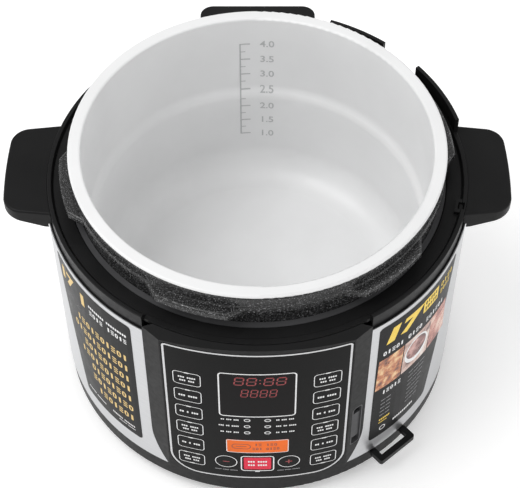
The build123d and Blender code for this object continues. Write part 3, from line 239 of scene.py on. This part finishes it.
FINISHES = {
    "pot_coating": ceramic_coat(),
    "flange_paint": speckled_enamel(),
    "seal": moulded("seal", (0.05, 0.05, 0.052), 0.6),
    "steel_sheet": brushed_sheet(),
    "zinc_sheet": metal("zinc_sheet", (0.55, 0.56, 0.57), 0.45, 220.0),
    "black_plastic": moulded("black_plastic", (0.011, 0.011, 0.0112), 0.36),
    "dark_plastic": moulded("dark_plastic", (0.009, 0.009, 0.0092), 0.42),
    "gloss_black": polished("gloss_black", (0.003, 0.003, 0.003), 0.16),
    "key_black": polished("key_black", (0.0032, 0.0032, 0.0033), 0.2),
    "key_orange": polished("key_orange", (0.83, 0.16, 0.025), 0.3),
    "key_red": polished("key_red", (0.70, 0.035, 0.07), 0.3),
    "smoked_lens": polished("smoked_lens", (0.003, 0.0022, 0.0023), 0.12),
    "clear_pipe": polished("clear_pipe", (0.05, 0.05, 0.052), 0.2),
    "clear_cup": polished("clear_cup", (0.30, 0.32, 0.34), 0.2),
    "grey_plastic": moulded("grey_plastic", (0.075, 0.075, 0.078), 0.4),
    "rubber": moulded("rubber", (0.02, 0.02, 0.02), 0.75),
    "steel": metal("steel", (0.6, 0.6, 0.62), 0.3),
    "cast_aluminium": metal("cast_aluminium", (0.62, 0.63, 0.64), 0.42, 400.0),
    "spring_steel": metal("spring_steel", (0.5, 0.5, 0.52), 0.28),
    "brass": metal("brass", (0.75, 0.6, 0.3), 0.3),
    "circuit_board": board_paint(),
    "component": moulded("component", (0.05, 0.05, 0.06), 0.45),
    "module": polished("module", (0.03, 0.03, 0.032), 0.25),
    "wire_sleeve": moulded("wire_sleeve", (0.35, 0.14, 0.05), 0.5),
}
INKS = {
    "white": ink("ink_white", (0.80, 0.80, 0.80)),
    "silver": ink("ink_silver", (0.62, 0.62, 0.63), 0.3),
    "grey": ink("ink_grey", (0.30, 0.30, 0.31)),
    "gold": ink("ink_gold", (0.72, 0.50, 0.16)),
    "yellow": ink("ink_yellow", (0.86, 0.60, 0.05)),
    "film": polished("printed_film", (0.007, 0.007, 0.0072), 0.3),
    # Litre marks: stamped into the wall in the pot's own colour; this darker grey is painted shade of
    # their relief.
    "mark": ink("litre_mark_painted_shade", (0.50, 0.505, 0.51)),
    # Lit segments of the display, a lamp; the minus and plus signs on the keys also use this ink, and
    # on them the glow is painted.
    "digit": glowing("lit_digit", (0.24, 0.008, 0.012), 0.14),
    # Unlit segments: a dim red of their own, plus a painted glow, though they are no lamp.
    "faint": glowing("unlit_digit_painted_glow", (0.13, 0.006, 0.008), 0.05),
    "orange_dark": ink("ink_orange_dark", (0.30, 0.045, 0.012)),
    "dish_warm": dish_print(
        "dish_warm",
        [(0.36, (0.12, 0.03, 0.012)), (0.5, (0.50, 0.15, 0.04)), (0.64, (0.80, 0.52, 0.26))],
        170,
    ),
    "dish_pale": dish_print(
        "dish_pale",
        [(0.38, (0.10, 0.035, 0.03)), (0.5, (0.55, 0.36, 0.30)), (0.62, (0.78, 0.68, 0.62))],
        70,
    ),
    "dish_dark": dish_print(
        "dish_dark",
        [(0.38, (0.05, 0.012, 0.010)), (0.52, (0.20, 0.06, 0.05)), (0.66, (0.62, 0.34, 0.30))],
        110,
    ),
    "dish_rose": dish_print(
        "dish_rose",
        [(0.36, (0.24, 0.05, 0.035)), (0.5, (0.55, 0.22, 0.16)), (0.66, (0.75, 0.52, 0.42))],
        100,
    ),
}


def finish_nodes():
    """Give every CAD node the finish that the record names."""
    for part in frame["record"]["subparts"]:
        node = NODES[part["node"]]
        material = FINISHES[part["material_slot"]].material
        node.data.materials.clear()
        node.data.materials.append(material)


# ---- Laying flat artwork on the model -----------------------------------------


def shape_tree(name):
    """Faces of a CAD node, ready for rays."""
    mesh = NODES[name].data
    corners = [vertex.co.copy() for vertex in mesh.vertices]
    return BVHTree.FromPolygons(corners, [list(face.vertices) for face in mesh.polygons])


class Ground:
    """Surface of some CAD nodes, as flat artwork in millimetres sees it."""

    def __init__(self, *names, lift=BASE_LIFT):
        self.trees = [shape_tree(name) for name in names]
        self.lift = lift * MM

    def hit(self, start, way):
        """Place along a ray, or along one just beside it where that one meets a joint."""
        for aside in (0.0, RAY_ASIDE, -RAY_ASIDE):
            origin = start + Vector((0, 0, aside * MM))
            casts = [tree.ray_cast(origin, way) for tree in self.trees]
            distances = [distance for place, _, _, distance in casts if place is not None]
            if distances:
                return start + way * (min(distances) - self.lift)
        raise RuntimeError(f"artwork misses the model near {start}")


class FrontGround(Ground):
    """Artwork in x and height, laid on the panel from the front."""

    def lay(self, u, v):
        return self.hit(Vector((u * MM, -RAY_START, v * MM)), Vector((0, 1, 0)))


class RearWallGround(Ground):
    """Artwork in x and height, laid on the inside of the pot's rear wall."""

    def lay(self, u, v):
        return self.hit(Vector((u * MM, AXIS_Y, v * MM)), Vector((0, 1, 0)))


class RoundGround(Ground):
    """Artwork in arc length from the front and height, laid on the steel shell."""

    def lay(self, u, v):
        turn = u * MM / SHELL_RADIUS
        out = Vector((sin(turn), -cos(turn), 0))
        start = Vector((0, AXIS_Y, v * MM)) + out * RAY_START
        return self.hit(start, -out)


class Artwork:
    """Flat faces, laid on a ground as one object."""

    def __init__(self, name, ground, color, body="cooker"):
        self.name = name
        self.ground = ground
        self.color = color
        self.body = body
        self.mesh = bmesh.new()

    def face(self, points):
        """One flat face inside an outline."""
        self.mesh.faces.new([self.mesh.verts.new((u, v, 0)) for u, v in points])

    def band(self, outer, inner):
        """Closed band between two outlines with as many points each."""
        out = [self.mesh.verts.new((u, v, 0)) for u, v in outer]
        into = [self.mesh.verts.new((u, v, 0)) for u, v in inner]
        for index in range(len(out)):
            after = (index + 1) % len(out)
            self.mesh.faces.new([out[index], out[after], into[after], into[index]])

    def bar(self, u, v, width, height):
        """Rounded bar about a middle."""
        self.face(rounded(u, v, width, height, min(width, height) * 0.3, 3))

    def frame(self, u, v, width, height, corner, stroke):
        """Outline of a rounded rectangle, with its stroke centred on the line."""
        outer = rounded(u, v, width + stroke, height + stroke, corner + stroke / 2)
        inner = rounded(u, v, width - stroke, height - stroke, max(corner - stroke / 2, 0.01))
        self.band(outer, inner)

    def number(self, text, u, v, height, squeeze=1.0, slant=0.0, weight=0.012):
        """Plain numerals about a middle."""
        curve = bpy.data.curves.new(self.name, "FONT")
        curve.body = text
        curve.size = 1.0
        curve.resolution_u = 3
        curve.shear = slant
        curve.offset = weight
        curve.align_x = "CENTER"
        curve.align_y = "CENTER"
        holder = bpy.data.objects.new(self.name, curve)
        flat = bpy.data.meshes.new_from_object(holder)
        high = max(vertex.co.y for vertex in flat.vertices)
        low = min(vertex.co.y for vertex in flat.vertices)
        scale = height / (high - low)
        middle = (high + low) / 2
        corners = []
        for vertex in flat.vertices:
            across = vertex.co.x * scale * squeeze
            above = (vertex.co.y - middle) * scale
            corners.append(self.mesh.verts.new((u + across, v + above, 0)))
        for polygon in flat.polygons:
            self.mesh.faces.new([corners[index] for index in polygon.vertices])
        bpy.data.objects.remove(holder)
        bpy.data.curves.remove(curve)
        bpy.data.meshes.remove(flat)

    def cut(self, axis):
        """Cut every face into strips across one axis."""
        mesh = self.mesh
        low = min(vertex.co[axis] for vertex in mesh.verts)
        high = max(vertex.co[axis] for vertex in mesh.verts)
        way = (1 - axis, axis, 0)
        for index in range(1, int((high - low) / STRIP) + 1):
            everything = mesh.verts[:] + mesh.edges[:] + mesh.faces[:]
            place = Vector(way) * (low + index * STRIP)
            bmesh.ops.bisect_plane(mesh, geom=everything, plane_co=place, plane_no=way)

    def finish(self, both_ways=False):
        """Cut the faces into narrow strips, bend them to the ground and make the object."""
        mesh = self.mesh
        self.cut(0)
        if both_ways:
            self.cut(1)
        for vertex in mesh.verts:
            vertex.co = self.ground.lay(vertex.co.x, vertex.co.y)
        data = bpy.data.meshes.new(self.name)
        mesh.to_mesh(data)
        mesh.free()
        data.materials.append(INKS[self.color].material)
        piece = bpy.data.objects.new(self.name, data)
        bpy.context.scene.collection.objects.link(piece)
        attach(piece, self.body)


def rounded(u, v, width, height, corner, steps=6):
    """Outline of a rounded rectangle about a middle."""
    return shield(u - width / 2, u + width / 2, v - height / 2, v + height / 2, corner, corner, steps)


def shield(left, right, low, high, below, above, steps=8):
    """Outline of a rectangle with its own corner radius below and above."""
    corners = (
        (right - above, high - above, above, 0),
        (left + above, high - above, above, 90),
        (left + below, low + below, below, 180),
        (right - below, low + below, below, 270),
    )
    points = []
    for x, y, radius, start in corners:
        for step in range(steps + 1):
            angle = radians(start + 90 * step / steps)
            points.append((x + radius * cos(angle), y + radius * sin(angle)))
    return points


def circle(u, v, radius, steps, tall=1.0):
    """Outline of a circle, or of an ellipse taller or lower than it is wide."""
    turns = [2 * pi * step / steps for step in range(steps)]
    return [(u + radius * cos(turn), v + radius * tall * sin(turn)) for turn in turns]


def words(art, u, v, width, height, count, turn=0):
    """Line of print: so many groups of small blocks. A turn changes their kinds' order."""
    pitch_share = 0.78  # of the print's height
    block_share = 0.74  # of the pitch
    places = max(round(width / (height * pitch_share)), 2 * count)
    pitch = width / places
    spaces = [round(places * (index + 1) / count) - 1 for index in range(count - 1)]
    for index in range(places):
        if index in spaces:
            continue
        middle = u - width / 2 + (index + 0.5) * pitch
        block(art, middle, v, pitch * block_share, height, (index * 5 + turn) % 3)


def block(art, u, v, width, height, kind):
    """One block: plain in small print, and narrow, hollow or in three layers in large."""
    stroke = height * 0.2
    if height <= SMALL_PRINT:
        art.bar(u, v, width, height)
    elif kind == 0:
        art.bar(u, v, width / 2, height)
    elif kind == 1:
        art.frame(u, v, width - stroke, height - stroke, stroke, stroke)
    else:
        for level in (-1, 0, 1):
            art.bar(u, v + level * (height - stroke) / 2, width, stroke)


# ---- Panel --------------------------------------------------------------------


def node_middle(name):
    """Middle of a node in x and height, in millimetres, with its width and height."""
    low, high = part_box(name)
    x = (low.x + high.x) / 2 / MM
    z = (low.z + high.z) / 2 / MM
    return x, z, (high.x - low.x) / MM, (high.z - low.z) / MM


def panel_print():
    """Everything printed on the panel that doesn't move with a key."""
    ground = FrontGround("control_fascia", "display_window", "light_pipes")
    panel_border(ground)

    white = Artwork("panel_lines", ground, "white")
    x, z, width, height = node_middle("display_window")
    white.frame(x, z, width + 1.2, height + 1.2, 2.4, 0.9)
    lamp_print(white)
    x, z, width, height = node_middle("key_start")
    white.frame(x, z, width + 1.6, height + 1.6, 2.2, 0.8)
    white.bar(x, z - height / 2 - 1.9, 3.2, 0.9)
    white.finish()

    caption = Artwork("panel_captions", ground, "grey")
    for name in ("key_minus", "key_plus"):
        x, z, _, height = node_middle(name)
        words(caption, x, z - height / 2 - 2.2, 15.0, 0.9, 3)
    caption.finish()


def panel_border(ground):
    """Silver line round the panel, just inside its edge."""
    art = Artwork("panel_border", ground, "silver")
    left, right = FASCIA_LOW.x / MM, FASCIA_HIGH.x / MM
    low, high = FASCIA_LOW.z / MM, FASCIA_HIGH.z / MM
    edge, stroke = 0.6, 1.3
    below, above = 19.4, 2.4
    outer = shield(left + edge, right - edge, low + edge, high - edge, below, above)
    inset = edge + stroke
    sides = (left + inset, right - inset, low + inset, high - inset)
    inner = shield(*sides, below - stroke, above - stroke)
    art.band(outer, inner)
    art.finish()


def lamp_print(art):
    """Ring round each light pipe and a line of print beside it."""
    lamps = lamp_places()
    for x, z in lamps:
        art.band(circle(x, z, 2.1, 24, 0.8), circle(x, z, 1.5, 24, 0.74))
    for index, (x, z) in enumerate(lamps):
        side = 1 if x > 0 else -1
        length = (11.5, 13.0, 12.0)[index % 3]
        words(art, side * (5.2 + length / 2) + x, z, length, 1.5, 3, index)


def lamp_places():
    """Middles of the light pipes, left column then right, from the top."""
    across, along = 4.0, 3.7  # no point of a pipe is further from its first one
    pipes = []
    for vertex in NODES["light_pipes"].data.vertices:
        u, v = vertex.co.x / MM, vertex.co.z / MM
        for pipe in pipes:
            first_u, first_v = pipe[0]
            if abs(first_u - u) < across and abs(first_v - v) < along:
                pipe.append((u, v))
                break
        else:
            pipes.append([(u, v)])
    middles = [tuple((min(side) + max(side)) / 2 for side in zip(*pipe)) for pipe in pipes]
    return sorted(middles, key=lambda place: (place[0] > 0, -place[1]))


# Side and level of each segment, from the numeral's middle, and whether it lies flat
SEGMENTS = {
    "top": (0.0, 1.0, True),
    "middle": (0.0, 0.0, True),
    "bottom": (0.0, -1.0, True),
    "upper_left": (-1.0, 0.5, False),
    "upper_right": (1.0, 0.5, False),
    "lower_left": (-1.0, -0.5, False),
    "lower_right": (1.0, -0.5, False),
}


def seven_segments(lit, unlit, u, v, width, height, dark=("middle",)):
    """One numeral of a seven-segment display, slanted a little."""
    thick = width * 0.15
    slant = 0.12
    for name, (side, level, flat) in SEGMENTS.items():
        art = unlit if name in dark else lit
        middle_u = u + side * (width - thick) / 2
        middle_v = v + level * (height - thick) / 2
        length = (width if flat else height / 2) - thick * 1.3
        half = thick / 2
        tip = length / 2
        outline = [(-tip, 0), (-tip + half, half), (tip - half, half)]
        outline += [(tip, 0), (tip - half, -half), (-tip + half, -half)]
        points = []
        for along, across in outline:
            du, dv = (along, across) if flat else (-across, along)
            height_here = middle_v + dv
            points.append((middle_u + du + (height_here - v) * slant, height_here))
        art.face(points)


def display_print():
    """Two rows of four numerals behind the window, the upper one with a colon."""
    ground = FrontGround("display_window")
    lit = Artwork("display_digits", ground, "digit")
    # The unlit segments glow faintly: a painted glow, since they are not lit.
    faint = Artwork("display_unlit_painted_glow", ground, "faint")
    x, z, _, height = node_middle("display_window")
    upper = z + height / 2 - 7.4
    for offset in (-12.6, -4.9, 5.6, 13.3):
        seven_segments(lit, faint, x + 1.4 + offset, upper, 6.2, 8.8)
    for drop in (-1.8, 1.8):
        lit.face(circle(x + 1.7, upper + drop, 0.55, 10))
    lower = z + height / 2 - 20.6
    for index in range(4):
        seven_segments(lit, faint, x + 1.0 + (index - 1.5) * 5.9, lower, 4.6, 8.6, ())
    lit.finish()
    faint.finish()


def key_prints():
    """Print on the sixteen keys, each of which moves with its key."""
    for side in ("left", "right"):
        for row in range(1, 7):
            side_key_print(f"key_{side}_{row}", row, side)
    program_key_print()
    start_key_print()
    round_key_print("key_minus")
    round_key_print("key_plus")


def side_key_print(name, row, side):
    """Outline with lamp bars in its edge, and one or two lines of print."""
    x, z, width, height = cap_box(name)
    art = Artwork(f"{name}_print", FrontGround(name), "white", name)
    art.frame(x, z, width - 0.9, height - 0.9, 2.3, 0.5)
    top = z + height / 2 - 0.55
    bottom = z - height / 2 + 0.55
    places = [(x, top)]
    if row == 6:
        places = [(x - 4.2, top), (x + 4.2, top), (x, bottom)] if side == "left" else [(x, bottom)]
    for u, v in places:
        art.bar(u, v, 3.0, 1.1)
    if row in (1, 4, 6):
        words(art, x, z + 1.4, 11.0, 1.7, 2, row)
        words(art, x, z - 2.2, 9.5, 1.7, 2, row + 1)
    else:
        words(art, x, z - 0.4, 12.0, 1.9, 2 + row % 2, row)
    art.finish()


def cap_box(name):
    """Middle, width and height of a key's cap, without the flange behind it."""
    flange = 1.7
    x, z, width, height = node_middle(name)
    return x, z, width - flange, height - flange


def program_key_print():
    """Outline, a small rounded frame at the left and two lines of print at the right."""
    name = "key_program"
    x, z, width, height = cap_box(name)
    ground = FrontGround(name)
    outline = Artwork("key_program_outline", ground, "white", name)
    outline.frame(x, z, width - 0.5, height - 0.5, 1.3, 0.5)
    outline.finish()
    art = Artwork("key_program_print", ground, "orange_dark", name)
    art.frame(x - 10.5, z, 12.0, 5.6, 2.7, 0.6)
    art.bar(x - 10.5, z, 7.0, 0.7)
    words(art, x + 5.5, z + 2.6, 15.0, 3.0, 2)
    words(art, x + 5.5, z - 2.6, 18.0, 3.0, 2, 2)
    art.finish()


def start_key_print():
    """Two lines of print."""
    name = "key_start"
    x, z, width, _ = cap_box(name)
    art = Artwork("key_start_print", FrontGround(name), "white", name)
    length = width * 0.72
    words(art, x, z + 2.4, length, 2.0, 2)
    words(art, x, z - 2.0, length, 2.0, 2, 1)
    art.finish()


def round_key_print(name):
    """Ring round the key's edge, with a minus or plus sign in the display's glowing ink, which gives
    the print a painted glow.
    """
    x, z, width, _ = cap_box(name)
    ground = FrontGround(name)
    art = Artwork(f"{name}_ring", ground, "white", name)
    art.band(circle(x, z, width / 2 - 0.2, 56), circle(x, z, width / 2 - 0.75, 56))
    art.finish()
    # The sign is red print on the key, no lamp; the display's glowing ink gives it a painted glow.
    sign = Artwork(f"{name}_sign_painted_glow", ground, "digit", name)
    sign.bar(x, z, 4.4, 0.9)
    if name == "key_plus":
        sign.bar(x, z + 1.4, 0.9, 1.8)
        sign.bar(x, z - 1.4, 0.9, 1.8)
    sign.finish()


# ---- Pot marks ----------------------------------------------------------------


def litre_marks():
    """Comb of litre marks, with its numbers, on the pot's rear wall, in a darker grey that is painted
    shade of their stamped relief.
    """
    art = Artwork("litre_marks", RearWallGround("inner_pot", lift=POT_LIFT), "mark", "inner_pot")
    steps = 6  # half litres, from the top mark to the lowest
    pitch = 14.4
    top = POT_TOP / MM - 23.2
    low = top - steps * pitch
    stroke = 1.0
    art.bar(-12.0, (top + low) / 2, stroke, top - low + stroke)
    for index in range(steps + 1):
        height = top - index * pitch
        art.bar(-8.6, height, 7.0, stroke)
        if index < steps:
            art.bar(-10.2, height - pitch / 2, 3.6, 0.7)
        tenths = 40 - index * 5
        art.number(f"{tenths // 10}.{tenths % 10}", 6.5, height, 6.0)
    art.finish(both_ways=True)


# ---- Films on the steel shell -------------------------------------------------


FILM_TOP = 168.6  # height of both films' upper edge


def film_outline(inner, outer_top, outer_bottom, bottom):
    """Outline of a film between azimuths, with an upright inner and a slanting outer edge."""
    rounding = 3.4
    steps = 6
    azimuths = (inner, outer_top, outer_bottom, inner)
    heights = (FILM_TOP, FILM_TOP, bottom, bottom)
    corners = [(azimuth * DEGREE, v) for azimuth, v in zip(azimuths, heights)]
    points = []
    for index, corner in enumerate(corners):
        start = toward(corner, corners[index - 1], rounding)
        end = toward(corner, corners[(index + 1) % 4], rounding)
        points += [bend(start, corner, end, step / steps) for step in range(steps + 1)]
    return points


def bend(start, corner, end, share):
    """Point so far along the curve that rounds a corner."""
    back = (1 - share) ** 2
    pull = 2 * share * (1 - share)
    on = share**2
    return tuple(a * back + b * pull + c * on for a, b, c in zip(start, corner, end))


def toward(point, other, distance):
    """Point at a distance from one point towards another."""
    du, dv = other[0] - point[0], other[1] - point[1]
    share = distance / hypot(du, dv)
    return point[0] + du * share, point[1] + dv * share


def round_words(art, left, right, v, height, count, turn=0):
    """Line of print between two azimuths."""
    middle = (left + right) / 2 * DEGREE
    words(art, middle, v, (right - left) * DEGREE, height, count, turn)


def film_art(name, color, lift=PRINT_LIFT):
    """Artwork on the steel shell."""
    return Artwork(name, RoundGround("outer_shell", lift=lift), color)


def left_film():
    """Film left of the panel: numerals, seven gold rows and small print."""
    film = film_art("left_film", "film", FILM_LIFT)
    film.face(film_outline(-34.4, -67.5, -58.5, 38.0))
    film.finish()
    gold = film_art("left_film_gold", "gold")
    gold.number("17", -61.5 * DEGREE, 157.0, 12.0, squeeze=1.25, weight=0.05)
    gold.number("1", -53.2 * DEGREE, 154.5, 12.0, squeeze=1.25, weight=0.05)
    for row, blocks in enumerate((10, 11, 9, 10, 8, 8, 7)):
        right = -36.4
        left = right - blocks * 5.0 / DEGREE
        round_words(gold, left, right, 129.4 - row * 11.8, 6.2, 1, row)
    gold.finish()
    white = film_art("left_film_white", "white")
    round_words(white, -50.5, -36.0, 155.6, 2.4, 2)
    round_words(white, -50.5, -36.0, 149.0, 4.4, 2, 2)
    round_words(white, -57.0, -48.5, 46.5, 1.6, 2)
    round_words(white, -45.5, -36.8, 47.5, 1.8, 2, 1)
    round_words(white, -43.0, -36.8, 44.0, 1.0, 2, 2)
    white.finish()


def right_film():
    """Film right of the panel: a heading, three pictures and small print below."""
    film = film_art("right_film", "film", FILM_LIFT)
    film.face(film_outline(33.0, 66.5, 56.5, 37.6))
    film.finish()
    right_film_heading()
    right_film_lines()
    right_film_pictures()


def right_film_heading():
    """Large slanted numerals, a yellow box with dark print in it and two lines beside it."""
    yellow = film_art("right_film_yellow", "yellow")
    yellow.number("17", 40.3 * DEGREE, 154.6, 15.5, squeeze=1.6, slant=0.2, weight=0.06)
    yellow.face(rounded(52.6 * DEGREE, 156.6, 16.0, 13.0, 0.8))
    round_words(yellow, 57.2, 64.0, 159.6, 4.6, 1, 1)
    round_words(yellow, 57.2, 62.6, 152.6, 4.6, 1, 2)
    round_words(yellow, 36.0, 40.0, 58.0, 2.0, 1)
    round_words(yellow, 36.0, 39.0, 54.5, 1.2, 1)
    yellow.finish()
    dark = film_art("right_film_dark", "film", OVERPRINT_LIFT)
    round_words(dark, 49.8, 55.4, 159.4, 3.4, 1, 1)
    round_words(dark, 49.8, 55.4, 153.8, 3.4, 1, 2)
    dark.finish()


def right_film_lines():
    """White lines, a small circle, and two grey columns under the pictures."""
    white = film_art("right_film_white", "white")
    round_words(white, 34.8, 60.0, 138.2, 4.4, 3, 1)
    round_words(white, 36.0, 43.0, 91.8, 4.4, 1)
    round_words(white, 41.5, 50.0, 46.5, 2.4, 1)
    white.band(circle(37.6 * DEGREE, 46.4, 2.6, 24), circle(37.6 * DEGREE, 46.4, 1.9, 24))
    white.finish()
    grey = film_art("right_film_grey", "grey")
    for row in range(5):
        round_words(grey, 36.0, 39.6, 82.0 - row * 4.6, 1.0, 2, row)
    for row in range(8):
        round_words(grey, 46.2, 53.5 - row * 0.3, 91.0 - row * 5.0, 0.9, 3, row)
    grey.finish()


def right_film_pictures():
    """Three pictures side by side, with a bowl of broth on the middle one."""
    low, high = 98.5, 132.0
    pictures = (
        ("dish_warm", 33.4, 42.2, 42.6),
        ("dish_pale", 42.6, 53.6, 54.4),
        ("dish_rose", 54.0, 63.6, 62.6),
    )
    for index, (color, left, right, right_top) in enumerate(pictures):
        picture = film_art(f"right_film_picture_{index + 1}", color)
        outline = ((left, low), (right, low), (right_top, high), (left + 0.4, high))
        picture.face([(azimuth * DEGREE, v) for azimuth, v in outline])
        picture.finish()
    middle = 48.2 * DEGREE
    surface = 117.2
    bowl = film_art("right_film_bowl", "white", OVERPRINT_LIFT)
    bowl.band(circle(middle, 116.0, 11.6, 48, 1.1), circle(middle, surface, 10.0, 48))
    bowl.finish()
    broth = film_art("right_film_broth", "dish_dark", OVERPRINT_LIFT)
    broth.face(circle(middle, surface, 9.9, 48))
    broth.finish()


# ---- Studio -------------------------------------------------------------------


def make_floor():
    """Pale floor just under the feet, which lifts its own shade a little."""
    half = 6.0
    mesh = bpy.data.meshes.new("floor")
    corners = [(-half, -half, 0), (half, -half, 0), (half, half, 0), (-half, half, 0)]
    mesh.from_pydata(corners, [], [(0, 1, 2, 3)])
    paint = Paint("floor", (0.93, 0.93, 0.93), 0.6)
    paint.shade(paint.noise(3, 2), 0.01)
    paint.shader.inputs["Emission Color"].default_value = (1.0, 1.0, 1.0, 1.0)
    paint.shader.inputs["Emission Strength"].default_value = 0.25
    mesh.materials.append(paint.material)
    floor = bpy.data.objects.new("floor", mesh)
    floor.location.z = -0.2 * MM
    bpy.context.scene.collection.objects.link(floor)


def area_light(name, place, target, width, height, power):
    """White rectangular light at a place, turned towards a target."""
    light = bpy.data.lights.new(name, "AREA")
    light.shape = "RECTANGLE"
    light.size = width
    light.size_y = height
    light.energy = power
    lamp = bpy.data.objects.new(name, light)
    lamp.location = place
    lamp.rotation_euler = (Vector(target) - Vector(place)).to_track_quat("-Z", "Y").to_euler()
    bpy.context.scene.collection.objects.link(lamp)


def make_lights():
    """Even white surroundings, a large light above and a soft one at each side."""
    world = bpy.data.worlds.new("studio")
    world.use_nodes = True
    background = world.node_tree.nodes["Background"]
    background.inputs["Color"].default_value = (1.0, 1.0, 1.0, 1.0)
    background.inputs["Strength"].default_value = 0.68
    bpy.context.scene.world = world
    middle = (0, AXIS_Y, 0.12)
    area_light("top", (-0.95, -0.25, 1.9), middle, 1.3, 1.1, 18.5)
    area_light("left", (-1.25, -0.55, 0.75), middle, 0.7, 1.2, 1.2)
    area_light("right", (1.25, -0.45, 0.75), middle, 0.7, 1.2, 3.0)


def make_camera():
    """Long lens, about a metre from the pot and 52 degrees above the level, at the front."""
    camera = bpy.data.cameras.new("camera")
    camera.sensor_width = 36.0
    camera.lens = 105.46
    camera.clip_start = 0.05
    camera.clip_end = 20.0
    holder = bpy.data.objects.new("camera", camera)
    place = Vector((0.00164, -0.6453, 0.9243))
    target = Vector((0.00164, -0.0098, 0.1065))
    holder.location = place
    holder.rotation_euler = (target - place).to_track_quat("-Z", "Y").to_euler()
    bpy.context.scene.collection.objects.link(holder)
    bpy.context.scene.camera = holder


make_camera()
make_lights()
make_floor()
finish_nodes()
panel_print()
display_print()
key_prints()
litre_marks()
left_film()
right_film()
bpy.context.scene.view_settings.view_transform = "Standard"
